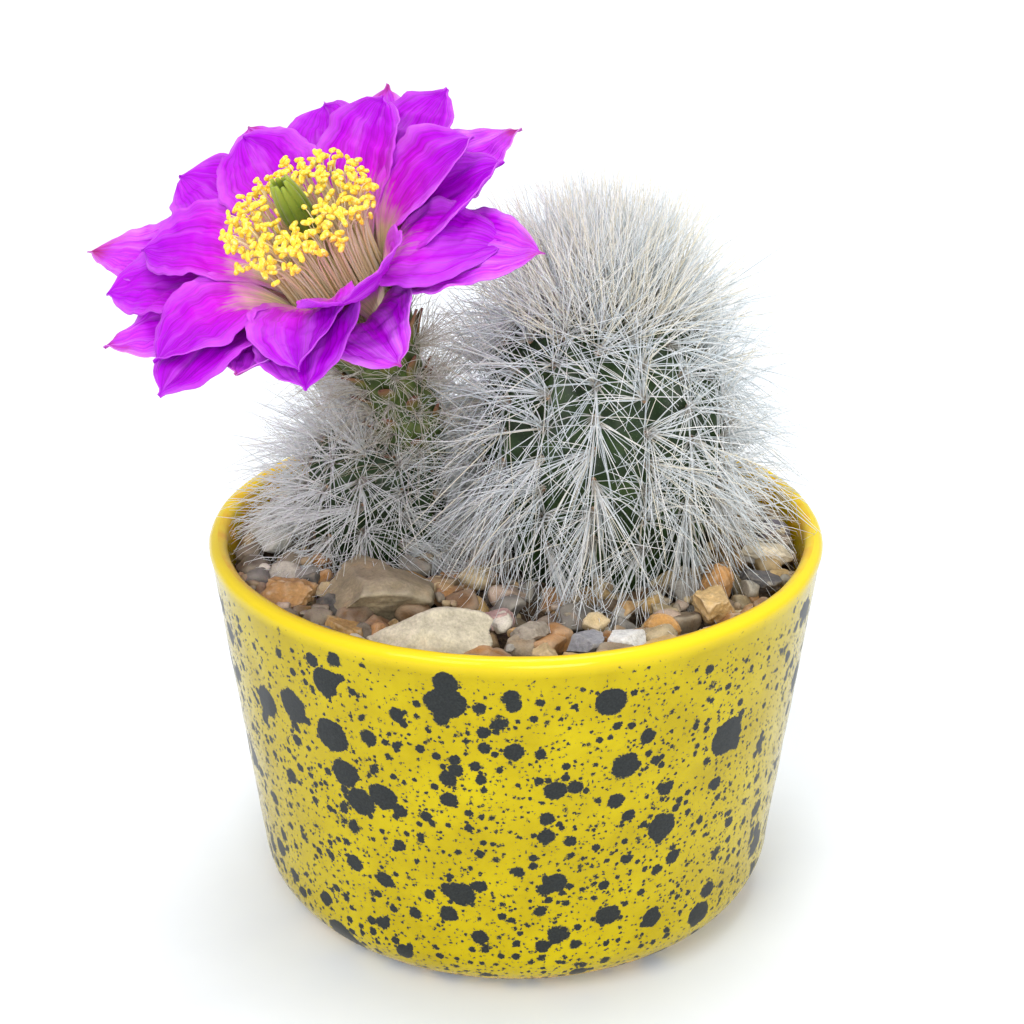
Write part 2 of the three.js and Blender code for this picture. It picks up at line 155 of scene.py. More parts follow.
def mesh_piece(name, points, faces, material):
    """One smooth mesh object from points in mm and a list of index arrays, riding on the plant."""
    mesh = bpy.data.meshes.new(name)
    corners = np.concatenate([f.ravel() for f in faces]).astype(np.int32)
    sizes = np.concatenate([np.full(len(f), f.shape[1]) for f in faces])
    starts = np.concatenate([[0], np.cumsum(sizes)[:-1]]).astype(np.int32)
    mesh.vertices.add(len(points))
    mesh.vertices.foreach_set("co", (np.asarray(points) * MM).astype(np.float32).ravel())
    mesh.loops.add(len(corners))
    mesh.loops.foreach_set("vertex_index", corners)
    mesh.polygons.add(len(sizes))
    mesh.polygons.foreach_set("loop_start", starts)
    mesh.polygons.foreach_set("use_smooth", np.ones(len(sizes), dtype=bool))
    mesh.update(calc_edges=True)
    mesh.materials.append(material)
    piece = bpy.data.objects.new(name, mesh)
    bpy.context.scene.collection.objects.link(piece)
    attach(piece, "root")
    return piece


def paint(piece, name, colours):
    """Stores a linear colour for each vertex, which a material reads by the name."""
    attribute = piece.data.color_attributes.new(name, "FLOAT_COLOR", "POINT")
    rgba = np.ones((len(piece.data.vertices), 4), dtype=np.float32)
    rgba[:, : colours.shape[1]] = colours
    attribute.data.foreach_set("color", rgba.ravel())


def grid_faces(rows, columns, closed):
    """Quads of a grid of points, row by row; closed joins each row's last point to its first."""
    r, c = np.meshgrid(np.arange(rows - 1), np.arange(columns if closed else columns - 1), indexing="ij")
    after = (c + 1) % columns
    quads = np.stack(
        [r * columns + c, r * columns + after, (r + 1) * columns + after, (r + 1) * columns + c], -1
    )
    return quads.reshape(-1, 4)


def end_fans(rows, sides, first, last):
    """Triangles that close a grid of rings: its first ring on point first, its last on point last."""
    here = np.arange(sides)
    after = (here + 1) % sides
    top = (rows - 1) * sides
    low_fan = np.stack([np.full(sides, first), after, here], -1)
    high_fan = np.stack([np.full(sides, last), top + here, top + after], -1)
    return np.concatenate([low_fan, high_fan])


def closed_rings(rings, ends):
    """Points and faces of rings of points, (rows, sides, 3), closed on one point at each end."""
    rows, sides, _ = rings.shape
    points = np.concatenate([rings.reshape(-1, 3), ends])
    return points, [grid_faces(rows, sides, True), end_fans(rows, sides, len(points) - 2, len(points) - 1)]


def joined(parts):
    """Points and face lists of many small shapes, put together as one."""
    starts = np.cumsum([0] + [len(points) for points, _ in parts[:-1]])
    kinds = zip(*(faces for _, faces in parts))
    faces = [np.concatenate([f + start for f, start in zip(kind, starts)]) for kind in kinds]
    return np.concatenate([points for points, _ in parts]), faces


def lathe(profile, sides):
    """Points and faces of a closed profile turned about +Z; the profile starts and ends on the axis."""
    profile = np.asarray(profile, float)
    inner = profile[1:-1]
    angles = np.arange(sides) * TURN / sides
    ring = np.stack([np.cos(angles), np.sin(angles)], -1)
    heights = np.broadcast_to(inner[:, None, 1:], (len(inner), sides, 1))
    rings = np.concatenate([inner[:, None, :1] * ring[None], heights], -1)
    return closed_rings(rings, [[0, 0, profile[0, 1]], [0, 0, profile[-1, 1]]])


def arc(centre_r, centre_z, bend, start, end, steps):
    angles = np.radians(np.linspace(start, end, steps + 1))
    return [(centre_r + bend * math.cos(a), centre_z + bend * math.sin(a)) for a in angles]


# ---------------------------------------------------------------- sizes from the frame, in mm
def node_box(name):
    low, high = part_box(name)
    return np.array(low) / MM, np.array(high) / MM


def node_points(name):
    return np.array([v.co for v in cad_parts[name].data.vertices]) / MM


POT_RIM_RADIUS, _, POT_HEIGHT = node_box("pot")[1]
POT_BASE_RADIUS = 43.5  # where the wall meets the curve at the foot
POT_WALL = 3.0
POT_FLOOR = 5.0
POT_FOOT_CURVE = 10.0
POT_LIP = 1.5
BARE_CLAY = 0.35  # height of the unglazed foot
GRAVEL_TOP = node_box("gravel_bed")[1][2]


def pot_outer_radius(height):
    share = (height - POT_FOOT_CURVE) / (POT_HEIGHT - POT_FOOT_CURVE)
    return POT_BASE_RADIUS + (POT_RIM_RADIUS - POT_BASE_RADIUS) * share


def stem_sizes(node, ribs, rib_depth, spacing):
    """A stem's place and size from its node, with its ribs and the distance between its areoles."""
    low, high = node_box(node)
    points = node_points(node)
    buried = points[points[:, 2] < GRAVEL_TOP - 10]
    centre = (buried.min(0) + buried.max(0)) / 2
    radius = max(high[1] - centre[1], centre[1] - low[1])
    sizes = {"x": centre[0], "y": centre[1], "radius": radius, "height": high[2] - GRAVEL_TOP}
    return {**sizes, "ribs": ribs, "rib_depth": rib_depth, "spacing": spacing}


MAIN = stem_sizes("main_stem", 15, 2.0, 5.0)
OFFSET = stem_sizes("offset_stem", 11, 1.4, 4.4)

FLOWER_TILT = math.radians(32)
FLOWER_BEARING = math.radians(227)
TUBE_LENGTH = 31.0
CUP_DEPTH = 8.7


def leaning(tilt, bearing):
    return np.array(
        [math.sin(tilt) * math.cos(bearing), math.sin(tilt) * math.sin(bearing), math.cos(tilt)]
    )


FLOWER_AXIS = leaning(FLOWER_TILT, FLOWER_BEARING)
pistil_points = node_points("pistil")
reach = pistil_points @ FLOWER_AXIS
PISTIL_FOOT = pistil_points[reach < reach.min() + 0.2].mean(0)
TUBE_RIM = PISTIL_FOOT + FLOWER_AXIS * CUP_DEPTH
TUBE_BEND = TUBE_RIM - FLOWER_AXIS * TUBE_LENGTH / 2
TUBE_SEAT = TUBE_BEND - leaning(FLOWER_TILT * 0.6, FLOWER_BEARING) * TUBE_LENGTH / 2
FLOWER_TURN = np.array(Vector((0, 0, 1)).rotation_difference(Vector(FLOWER_AXIS)).to_matrix())


def in_flower(points):
    """Points given with +Z along the flower's axis from the tube's rim, moved into place."""
    return points @ FLOWER_TURN.T + TUBE_RIM


# ---------------------------------------------------------------- strands: spines, hairs, filaments
def strand_mesh(name, paths, widths, tones, material, sides=4):
    """One mesh of many tapered strands. paths is (strands, steps, 3) in mm, widths (strands, steps)
    in mm across, tones gives each strand its place from 0 to 1 in the material's palette."""
    count, steps, _ = paths.shape
    tangents = unit(np.gradient(paths, axis=1))
    helper = np.where(np.abs(tangents[:, :1, 2:]) < 0.9, UP, np.array([1.0, 0, 0]))
    first = unit(np.cross(tangents, helper))
    second = np.cross(tangents, first)
    angles = np.arange(sides) * TURN / sides
    ring = np.cos(angles)[:, None] * first[:, :, None] + np.sin(angles)[:, None] * second[:, :, None]
    points = paths[:, :, None] + ring * widths[:, :, None, None] / 2
    ends = np.stack([paths[:, 0], paths[:, -1]], 1)
    each = steps * sides + 2
    points = np.concatenate([points.reshape(count, -1, 3), ends], 1).reshape(-1, 3)
    quads = grid_faces(steps, sides, True)
    fans = end_fans(steps, sides, each - 2, each - 1)
    offsets = (np.arange(count) * each)[:, None, None]
    piece = mesh_piece(
        name, points, [(quads + offsets).reshape(-1, 4), (fans + offsets).reshape(-1, 3)], material
    )
    here = np.arange(sides)
    column = np.tile(here, steps - 1)
    row = np.repeat(np.arange(steps - 1), sides)
    narrow = 0.006 / sides
    quad_u = np.stack([column, column + 1, column + 1, column], -1) * narrow
    quad_v = np.stack([row, row, row + 1, row + 1], -1) / steps
    fan_u = np.concatenate(
        [np.stack([here + 0.5, here + 1, here], -1), np.stack([here + 0.5, here, here + 1], -1)]
    )
    low_v = np.broadcast_to([0.0, 0.001, 0.001], (sides, 3))
    high_v = np.broadcast_to([1.0, (steps - 1) / steps, (steps - 1) / steps], (sides, 3))
    fan_v = np.concatenate([low_v, high_v])
    tone = np.asarray(tones)[:, None, None] * 0.98 + 0.005
    quad_uv = np.stack([tone + quad_u, np.broadcast_to(quad_v, (count,) + quad_v.shape)], -1)
    fan_uv = np.stack([tone + fan_u * narrow, np.broadcast_to(fan_v, (count,) + fan_v.shape)], -1)
    uvs = np.concatenate([quad_uv.reshape(-1, 2), fan_uv.reshape(-1, 2)])
    layer = piece.data.uv_layers.new(name="OFBake")
    layer.data.foreach_set("uv", uvs.astype(np.float32).ravel())
    return piece


def tapered(lengths, base, tip, steps, power=1.0):
    """Widths along strands, from the base's to the tip's."""
    share = np.linspace(0, 1, steps) ** power
    return np.broadcast_to(base, lengths.shape)[:, None] * (1 - share) + tip * share


def bent_paths(rng, roots, directions, lengths, sag, curl, steps=7):
    """Strands that leave their roots along directions, sag under their weight and curl a little."""
    share = np.linspace(0, 1, steps)[None, :, None]
    side = unit(np.cross(directions, rng.normal(size=directions.shape)))
    length = lengths[:, None, None]
    curls = (curl * rng.normal(size=lengths.shape))[:, None, None]
    sags = np.broadcast_to(sag, lengths.shape)[:, None, None]
    path = roots[:, None] + directions[:, None] * length * share
    path = path + side[:, None] * curls * length * share**2
    return path - UP * sags * length * share**2


# ---------------------------------------------------------------- pot
def glazed_stoneware():
    """Wheel-thrown stoneware, dipped in a yellow glaze and flicked with dark slip, then fired.

    The glaze is glassy with a faint unevenness; the slip lies in ragged round blots of all sizes,
    duller than the glaze. The glaze thins and warms at the lip, and the foot is bare clay.
    """
    material, tree, shader = surface("glazed_stoneware", IOR=1.5, Specular_IOR_Level=0.2)
    mm = in_mm(tree)
    ragged = add(tree, "TexNoise", {"Vector": mm, "Scale": 0.55, "Detail": 3.0, "Roughness": 0.62})
    push = add(tree, "VectorMath", {0: ragged.outputs["Color"], 1: (0.5, 0.5, 0.5)}, operation="SUBTRACT")
    fine = add(tree, "TexNoise", {"Vector": mm, "Scale": 2.8, "Detail": 4.0, "Roughness": 0.7})
    fine_push = add(
        tree, "VectorMath", {0: fine.outputs["Color"], 1: (0.5, 0.5, 0.5)}, operation="SUBTRACT"
    )
    fine_warped = add(
        tree, "VectorMath", {0: fine_push, 1: (1.0, 1.0, 1.0), 2: mm}, operation="MULTIPLY_ADD"
    )
    warped = add(
        tree, "VectorMath", {0: push, 1: (1.2, 1.2, 1.2), 2: fine_warped}, operation="MULTIPLY_ADD"
    )

    axes = add(tree, "SeparateXYZ", {"Vector": mm})
    flat = add(tree, "CombineXYZ", {"X": axes.outputs["X"], "Y": axes.outputs["Y"]})
    from_axis = add(tree, "VectorMath", {0: flat}, operation="LENGTH").outputs["Value"]
    height = axes.outputs["Z"]
    # near the lip only small blots landed
    shrink = add(tree, "MapRange", span(height, POT_HEIGHT - 7, POT_HEIGHT - 1.5, 1.0, 0.3))

    # blots: which unevenness they follow, then cell size, largest radius, how rare the large ones
    # are and softness of the edge, in mm; each size is flicked on more than once
    blots = [
        (warped, 8.4, 3.6, 1.25, 0.10),
        (warped, 7.6, 2.8, 1.6, 0.10),
        (warped, 5.0, 1.8, 1.2, 0.09),
        (warped, 4.3, 1.3, 1.2, 0.09),
        (fine_warped, 2.4, 0.80, 0.8, 0.07),
        (fine_warped, 1.9, 0.62, 0.8, 0.07),
        (fine_warped, 1.1, 0.34, 0.7, 0.05),
        (fine_warped, 0.9, 0.26, 0.7, 0.05),
    ]
    spots = 0.0
    for throw, (vector, cell, largest, rarity, edge) in enumerate(blots):
        moved = add(tree, "VectorMath", {0: vector, 1: (37.0 * throw, 11.0, 5.0 * throw)}, operation="ADD")
        cells = add(tree, "TexVoronoi", {"Vector": moved, "Scale": 1 / cell, "Randomness": 0.85})
        chance = add(tree, "SeparateColor", {"Color": cells.outputs["Color"]})
        size = add(tree, "Math", {0: chance.outputs[0], 1: rarity}, operation="POWER")
        radius = add(tree, "Math", {0: size, 1: largest / cell}, operation="MULTIPLY")
        radius = add(tree, "Math", {0: radius, 1: shrink}, operation="MULTIPLY")
        beyond = add(tree, "Math", {0: cells.outputs["Distance"], 1: radius}, operation="SUBTRACT")
        faded = span(beyond, -edge / cell, edge / cell, 1.0, 0.0)
        spot = add(tree, "MapRange", faded, interpolation_type="SMOOTHSTEP")
        spots = add(tree, "Math", {0: spots, 1: spot}, operation="MAXIMUM")

    # slip was flicked at the outside only, and wiped from the last millimetres below the lip
    below_lip = add(tree, "MapRange", span(height, POT_HEIGHT - 2.4, POT_HEIGHT - 1.2, 1.0, 0.0))
    slope = (POT_RIM_RADIUS - POT_BASE_RADIUS) / (POT_HEIGHT - POT_FOOT_CURVE)
    wall_line = add(tree, "Math", {0: height, 1: slope}, operation="MULTIPLY")
    inside_line = add(tree, "Math", {0: wall_line, 1: pot_outer_radius(0) - POT_WALL / 2}, operation="ADD")
    outside = add(tree, "Math", {0: from_axis, 1: inside_line}, operation="GREATER_THAN")
    low_wall = add(tree, "Math", {0: height, 1: POT_FOOT_CURVE}, operation="LESS_THAN")
    outer_face = add(tree, "Math", {0: outside, 1: low_wall}, operation="MAXIMUM")
    masked = add(tree, "Math", {0: spots, 1: outer_face}, operation="MULTIPLY")
    slip = add(tree, "Math", {0: masked, 1: below_lip}, operation="MULTIPLY")

    mottle = add(tree, "TexNoise", {"Vector": mm, "Scale": 0.09, "Detail": 5.0, "Roughness": 0.6})
    yellows = [(0.3, "#A89300"), (0.5, "#B5A000"), (0.7, "#C0AC00")]
    glaze = add(tree, "ValToRGB", {"Fac": mottle}, stops=yellows)
    at_lip = add(tree, "MapRange", span(height, POT_HEIGHT - 3.0, POT_HEIGHT - 0.4))
    breaking = add(tree, "TexNoise", {"Vector": mm, "Scale": 0.25, "Detail": 4.0})
    inner_edge = add(tree, "Math", {0: outside, 1: 1.0}, operation="SUBTRACT")
    inner_edge = add(tree, "Math", {0: inner_edge, 1: -1.0}, operation="MULTIPLY")
    break_share = add(tree, "MapRange", span(breaking, 0.42, 0.7, 0.15, 0.75))
    warm_share = add(tree, "Math", {0: inner_edge, 1: break_share}, operation="MULTIPLY")
    slip_tone = add(tree, "ValToRGB", {"Fac": fine}, stops=[(0.35, "#1C1F1F"), (0.7, "#2E3130")])
    bare = add(tree, "Math", {0: height, 1: BARE_CLAY}, operation="LESS_THAN")
    layers = [(at_lip, "#E6CC20"), (warm_share, "#E0A21A"), (slip, slip_tone), (bare, "#C9B79A")]
    rough = add(tree, "MapRange", span(slip, 0.0, 1.0, 0.16, 0.36))
    tree.links.new(rough.outputs[0], shader.inputs["Roughness"])
    orange_peel = add(tree, "TexNoise", {"Vector": mm, "Scale": 0.45, "Detail": 2.0})
    relief = add(tree, "Math", {0: slip, 1: 0.35, 2: orange_peel}, operation="MULTIPLY_ADD")
    dress(tree, shader, covered(tree, glaze, *layers), relief, 0.25, 0.0002)
    return material


def make_pot():
    lip_radius = POT_RIM_RADIUS - POT_WALL / 2
    foot_centre = POT_BASE_RADIUS - POT_FOOT_CURVE
    inner_bend = POT_FOOT_CURVE - POT_WALL
    inner_centre = pot_outer_radius(POT_FLOOR + inner_bend) - POT_WALL - inner_bend
    rows = np.linspace(POT_FOOT_CURVE + 2, POT_HEIGHT - POT_LIP - 2, 22)
    profile = [(0, 0), (foot_centre - 14, 0), (foot_centre - 1, 0)]
    profile += arc(foot_centre, POT_FOOT_CURVE, POT_FOOT_CURVE, -90, 0, 14)
    profile += [(pot_outer_radius(z), z) for z in rows]
    profile += arc(lip_radius, POT_HEIGHT - POT_LIP, POT_LIP, 0, 180, 12)
    profile += [(pot_outer_radius(z) - POT_WALL, z) for z in rows[::-2] if z > POT_FLOOR + inner_bend + 1]
    profile += arc(inner_centre, POT_FLOOR + inner_bend, inner_bend, 0, -90, 8)
    profile += [(0, POT_FLOOR)]
    points, faces = lathe(profile, 256)
    radius = np.hypot(points[:, 0], points[:, 1])
    outward = np.where(radius[:, None] > 1, points * [1, 1, 0] / np.maximum(radius, 1)[:, None], 0)
    thrown = 0.10 * wavy(points, 34, 3) + 0.045 * wavy(points, 11, 4)
    points = points + outward * (thrown * smoothstep(1, 12, points[:, 2]))[:, None]
    points[:, 2] += 0.10 * wavy(points, 30, 9) * smoothstep(POT_HEIGHT - 4, POT_HEIGHT - 1, points[:, 2])
    pot = mesh_piece("stoneware_pot", points, faces, glazed_stoneware())
    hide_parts("pot")


# ---------------------------------------------------------------- stones
def crushed_stone(name, spread, grain, pitted):
    """Broken limestone, sandstone and quartzite, riddled and washed: dull, gritty faces whose
    colour is the stone's own tint with grains, stains and dusty high places. spread and grain
    widen the stains and the grains; pitted deepens the pits."""
    material, tree, shader = surface(name, Roughness=0.82, IOR=1.52)
    mm = in_mm(tree)
    tint = add(tree, "Attribute", attribute_name="tint").outputs["Color"]
    stains = add(tree, "TexNoise", {"Vector": mm, "Scale": 0.32 / spread, "Detail": 5.0, "Roughness": 0.65})
    grains = add(tree, "TexNoise", {"Vector": mm, "Scale": 2.2 / grain, "Detail": 3.0, "Roughness": 0.7})
    cells = add(tree, "TexVoronoi", {"Vector": mm, "Scale": 1.3 / grain})
    stain_tone = add(tree, "MapRange", span(stains, 0.3, 0.7, 0.72, 1.22))
    grain_tone = add(tree, "MapRange", span(grains, 0.3, 0.7, 0.78, 1.2))
    tone = add(tree, "Math", {0: stain_tone, 1: grain_tone}, operation="MULTIPLY")
    toned = add(tree, "VectorMath", {0: tint, "Scale": tone}, operation="SCALE")
    rusty = add(tree, "MapRange", span(stains, 0.58, 0.74, 0.0, 0.3))
    sharpness = add(tree, "NewGeometry").outputs["Pointiness"]
    worn = add(tree, "MapRange", span(sharpness, 0.5, 0.62, 0.0, 0.35))
    dusted = covered(tree, toned, (rusty, "#A8763A"), (worn, "#E4DAC4"))
    pits = add(tree, "Math", {0: cells.outputs["Distance"], 1: pitted, 2: grains}, operation="MULTIPLY_ADD")
    dress(tree, shader, dusted, pits, 0.7, 0.00025)
    return material


def ball(level):
    """Points and triangles of a ball of radius 1, for shaping into stones."""
    sphere = bmesh.new()
    bmesh.ops.create_icosphere(sphere, subdivisions=level, radius=1)
    points = np.array([v.co for v in sphere.verts])
    faces = np.array([[v.index for v in f.verts] for f in sphere.faces])
    sphere.free()
    return points, faces


BEAD = ball(2)
SMALL_BALL = ball(3)
LARGE_BALL = ball(5)


def broken_lump(rng, shape, size, cuts, rough):
    """A ball split along flat breaks, roughened, and scaled to length, width and height in mm."""
    points = shape[0].copy()
    for _ in range(cuts):
        normal = unit(rng.normal(size=3))
        points -= normal * np.maximum(points @ normal - rng.uniform(0.45, 0.82), 0)[:, None]
    seed = int(rng.integers(1 << 30))
    # each octave of roughness is half as long and a little over half as deep
    for octave in range(4):
        bumps = wavy(points, 1.3 * 0.5**octave, seed + octave)
        points = points * (1 + rough * 0.58**octave * bumps)[:, None]
    points = points - (points.max(0) + points.min(0)) / 2
    return points / (points.max(0) - points.min(0)) * np.asarray(size)


def turned_about(points, axis, angle):
    """Points turned about an axis through the origin."""
    axis = unit(np.asarray(axis, float))
    cross = np.cross(axis, points)
    kept = np.outer(points @ axis, axis) * (1 - math.cos(angle))
    return points * math.cos(angle) + cross * math.sin(angle) + kept


# each named stone: its look, its turn in degrees, and how rough its faces are
STONE_LOOKS = {
    "limestone_front": ("#C4BBA2", "pale_stone", 8, 0.05),
    "sandstone_slab": ("#94866A", "pale_stone", -20, 0.045),
    "pale_rock_left": ("#C8C6BE", "pale_stone", 0, 0.05),
    "crumbly_brown_stone": ("#A37C4C", "tan_stone", 50, 0.12),
    "ochre_splinter": ("#B08A4E", "tan_stone", -30, 0.08),
    "grey_quartz": ("#8F8576", "grey_stone", 10, 0.04),
    "tan_pebble_front": ("#BFA67A", "tan_stone", 70, 0.05),
    "grey_pebble_front": ("#86868A", "grey_stone", 20, 0.04),
    "white_pebble_front": ("#D6D5D0", "pale_stone", 5, 0.04),
    "pink_chip": ("#B3918A", "tan_stone", 40, 0.05),
    "orange_oval": ("#BC8C4C", "tan_stone", -35, 0.06),
    "tan_lump_right": ("#C7A670", "tan_stone", 35, 0.09),
    "tall_orange_stone": ("#BE8C52", "tan_stone", 15, 0.07),
    "dark_grey_chip": ("#565456", "grey_stone", 60, 0.05),
    "pale_chip_right": ("#D2C6AE", "pale_stone", 80, 0.06),
    "slate_chip_right": ("#716D78", "grey_stone", 95, 0.05),
    "tan_stone_right": ("#C2A374", "tan_stone", 20, 0.07),
    "grey_rock_back_right": ("#A29D92", "grey_stone", 100, 0.06),
    "buff_rock_back": ("#C5B490", "tan_stone", 15, 0.06),
    "rust_stone_back_left": ("#A06E44", "tan_stone", 60, 0.09),
}
# tints of the loose stones, and how common each is
GRAVEL_TINTS = [("#AE8F58", 5), ("#A07C48", 5), ("#C2AC80", 5), ("#7A6A54", 4), ("#AA7840", 3)]
GRAVEL_TINTS += [("#D3CBBA", 3), ("#8A8680", 3), ("#5A5753", 3), ("#A8907E", 2), ("#70502F", 3)]


def make_large_stones(ground):
    rng = np.random.default_rng(21)
    material = crushed_stone("crushed_limestone", spread=1.6, grain=1.1, pitted=0.4)
    for name, (tint, slot, turn, rough) in STONE_LOOKS.items():
        low, high = node_box(name)
        centre = (low + high) / 2
        bearing = math.atan2(centre[1], centre[0])
        angle = bearing + math.radians(90 + turn)
        spread = np.abs([math.cos(angle), math.sin(angle)])
        size = high - low
        # the box of a turned lump is a mix of its length and width, which this undoes
        length = (size[0] * spread[0] + size[1] * spread[1]) * 1.06
        width = (size[0] * spread[1] + size[1] * spread[0]) * 0.92
        points = broken_lump(rng, LARGE_BALL, (length, width, size[2]), 14, rough)
        points = turned_about(points, (0, 0, 1), angle) + centre
        stone = mesh_piece(name + "_rock", points, [LARGE_BALL[1]], material)
        shade = np.array(linear(tint)[:3]) * (1 + 0.10 * wavy(points, 5, len(name)))[:, None]
        paint(stone, "tint", shade)
        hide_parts(name)
        raise_ground(ground, centre[0], centre[1], length / 2, width / 2, angle, high[2] - 1)


# the height map of the ground: its cell size and half its width
GROUND_STEP = 0.5
GROUND_HALF = 50


def raise_ground(ground, x, y, half_length, half_width, angle, top):
    """Lifts the height map under an oval stone to its rounded top."""
    axis = np.arange(-GROUND_HALF, GROUND_HALF, GROUND_STEP)
    gx, gy = np.meshgrid(axis - x, axis - y, indexing="ij")
    along = gx * math.cos(angle) + gy * math.sin(angle)
    across = gy * math.cos(angle) - gx * math.sin(angle)
    inside = 1 - (along / half_length) ** 2 - (across / half_width) ** 2
    dome = top - (1 - np.sqrt(np.maximum(inside, 0))) * min(half_length, half_width)
    ground[...] = np.where(inside > 0, np.maximum(ground, dome), ground)


def ground_under(ground, x, y, reach):
    i, j = (int(round((value + GROUND_HALF) / GROUND_STEP)) for value in (x, y))
    k = max(1, int(reach / GROUND_STEP))
    return ground[max(i - k, 0) : i + k + 1, max(j - k, 0) : j + k + 1]


AGAINST_WALL = 0.33  # share of the loose stones that fell against the wall and lie along it
SETTLING_TRIES = 60  # places tried before a loose stone is left out
PROUD = 1.2  # how far above the bed's top a loose stone may stand


def make_gravel(ground):
    """Loose gravel poured round the stems: every stone rests on those that fell before it."""
    rng = np.random.default_rng(5)
    wall = pot_outer_radius(GRAVEL_TOP) - POT_WALL - 0.4
    tints = [tint for tint, share in GRAVEL_TINTS for _ in range(share)]
    batches = {
        "gravel_bottom": (300, 3.6, 7.0), "gravel_top": (380, 3.0, 7.4), "gravel_grit": (300, 1.3, 2.6)
    }
    material = crushed_stone("crushed_quartzite", spread=0.8, grain=0.7, pitted=0.3)
    stems = [
        (MAIN["x"], MAIN["y"], MAIN["radius"] - 3.0), (OFFSET["x"], OFFSET["y"], OFFSET["radius"] - 2.2)
    ]
    for name, (count, least, most) in batches.items():
        parts, colours = [], []
        for _ in range(count):
            size = rng.uniform(least, most) * np.array([1, rng.uniform(0.62, 0.95), rng.uniform(0.5, 0.85)])
            half = size[0] / 2
            against_wall = rng.uniform() < AGAINST_WALL
            for _ in range(SETTLING_TRIES):
                spot = rng.uniform(-wall, wall, 2)
                yaw = rng.uniform(0, TURN)
                if against_wall:
                    spot = unit(spot) * (wall - size[1] / 2 - 0.1)
                    yaw = math.atan2(spot[1], spot[0]) + TURN / 4
                clear = all(math.hypot(spot[0] - x, spot[1] - y) > r + half * 0.4 for x, y, r in stems)
                if clear and (against_wall or math.hypot(*spot) < wall - half):
                    break
            else:
                continue
            under = ground_under(ground, spot[0], spot[1], half * 0.55)
            seat = np.percentile(under, 62)
            # a stone that would stand proud of the bed sinks among the others, or is left out
            ceiling = GRAVEL_TOP + PROUD
            if seat + size[2] * 0.72 > ceiling + size[2] * 0.2:
                seat = ceiling - size[2] * 0.72
                if np.percentile(under, 35) > ceiling - size[2] * 0.35:
                    continue
            shape = SMALL_BALL if size[0] > 2.6 else BEAD
            points = broken_lump(rng, shape, size, int(rng.integers(9, 15)), rng.uniform(0.03, 0.09))
            points = turned_about(points, (math.cos(yaw), math.sin(yaw), 0), rng.normal(0, 0.28))
            points = turned_about(points, (0, 0, 1), yaw)
            centre = np.array([spot[0], spot[1], seat + size[2] * 0.36])
            parts.append((points + centre, [shape[1]]))
            tint = np.array(linear(tints[rng.integers(len(tints))])[:3]) * rng.uniform(0.5, 1.32)
            colours.append(np.broadcast_to(tint, points.shape))
            raise_ground(ground, spot[0], spot[1], half, size[1] / 2, yaw, centre[2] + size[2] * 0.46)
        piece = mesh_piece(name, *joined(parts), material)
        paint(piece, "tint", np.concatenate(colours))
        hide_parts("gravel_bed")


def make_bedding():
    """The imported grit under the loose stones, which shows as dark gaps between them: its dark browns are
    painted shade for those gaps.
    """
    material, tree, shader = surface("grit_and_gap_shade", Roughness=0.95)
    mm = in_mm(tree)
    grit = add(tree, "TexNoise", {"Vector": mm, "Scale": 1.1, "Detail": 4.0, "Roughness": 0.7})
    # these dark browns are painted shade, standing for the shade that falls in the gaps between the stones
    browns = [(0.3, "#2E241B"), (0.55, "#5A4835"), (0.75, "#8A7250")]
    dress(tree, shader, add(tree, "ValToRGB", {"Fac": grit}, stops=browns), grit, 0.8, 0.0005)
    wall = pot_outer_radius(GRAVEL_TOP - 4) - POT_WALL - 0.2
    depth = GRAVEL_TOP - 8.5
    radii = np.linspace(wall, 1, 40)
    profile = [(0, depth), (wall * 0.5, depth), (wall - 0.6, depth)]
    profile += [(r, GRAVEL_TOP - 3.4) for r in radii] + [(0, GRAVEL_TOP - 3.4)]
    points, faces = lathe(profile, 160)
    top = points[:, 2] > GRAVEL_TOP - 4
    points[:, 2] += top * (0.5 * wavy(points, 3.2, 31) + 0.3 * wavy(points, 1.4, 32))
    bedding = mesh_piece("grit_and_gap_shade_bed", points, faces, material)
    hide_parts("gravel_bed")


# ---------------------------------------------------------------- stems
SHOULDER = 0.75  # below 1, the dome's shoulders are fuller than an ellipse's


def stem_outline(stem, share):
    """Radius and height above the gravel at a share of the way from under the gravel to the crown."""
    belly = stem["height"] * 0.47
    foot = -7.0
    split = 0.42
    low = np.clip(share / split, 0, 1)
    rise = np.clip((share - split) / (1 - split), 0, 1) * math.pi / 2
    height = np.where(
        share < split, foot + (belly - foot) * low, belly + (stem["height"] - belly) * np.sin(rise)
    )
    narrow = 1 - 0.26 * np.clip((belly - height) / (belly - foot), 0, 1) ** 2
    radius = stem["radius"] * np.where(share < split, narrow, np.cos(rise) ** SHOULDER)
    return radius, height


def stem_skin(stem, bearing, share):
    """A point on the stem's skin: ribs with rounded crests, each swelling at its areoles."""
    radius, height = stem_outline(stem, share)
    valley = (0.5 - 0.5 * np.cos(bearing * stem["ribs"])) ** 0.8
    fade = np.clip(radius / (stem["radius"] * 0.45), 0, 1)
    swelling = 0.25 * (0.5 - 0.5 * np.cos(TURN * height / stem["spacing"])) * (1 - valley)
    radius = radius - stem["rib_depth"] * fade * (valley + swelling)
    radius = np.maximum(radius, 0.02)
    spot = np.stack([radius * np.cos(bearing), radius * np.sin(bearing), height], -1)
    return spot + [stem["x"], stem["y"], GRAVEL_TOP]


def skin_frame(stem, bearing, share):
    """The skin's point and its upward, sideways and outward directions."""
    step = 0.004
    point = stem_skin(stem, bearing, share)
    upward = unit(
        stem_skin(stem, bearing, np.minimum(share + step, 0.999)) - stem_skin(stem, bearing, share - step)
    )
    sideways = np.stack([-np.sin(bearing), np.cos(bearing), np.zeros_like(bearing)], -1)
    return point, upward, sideways, unit(np.cross(sideways, upward))


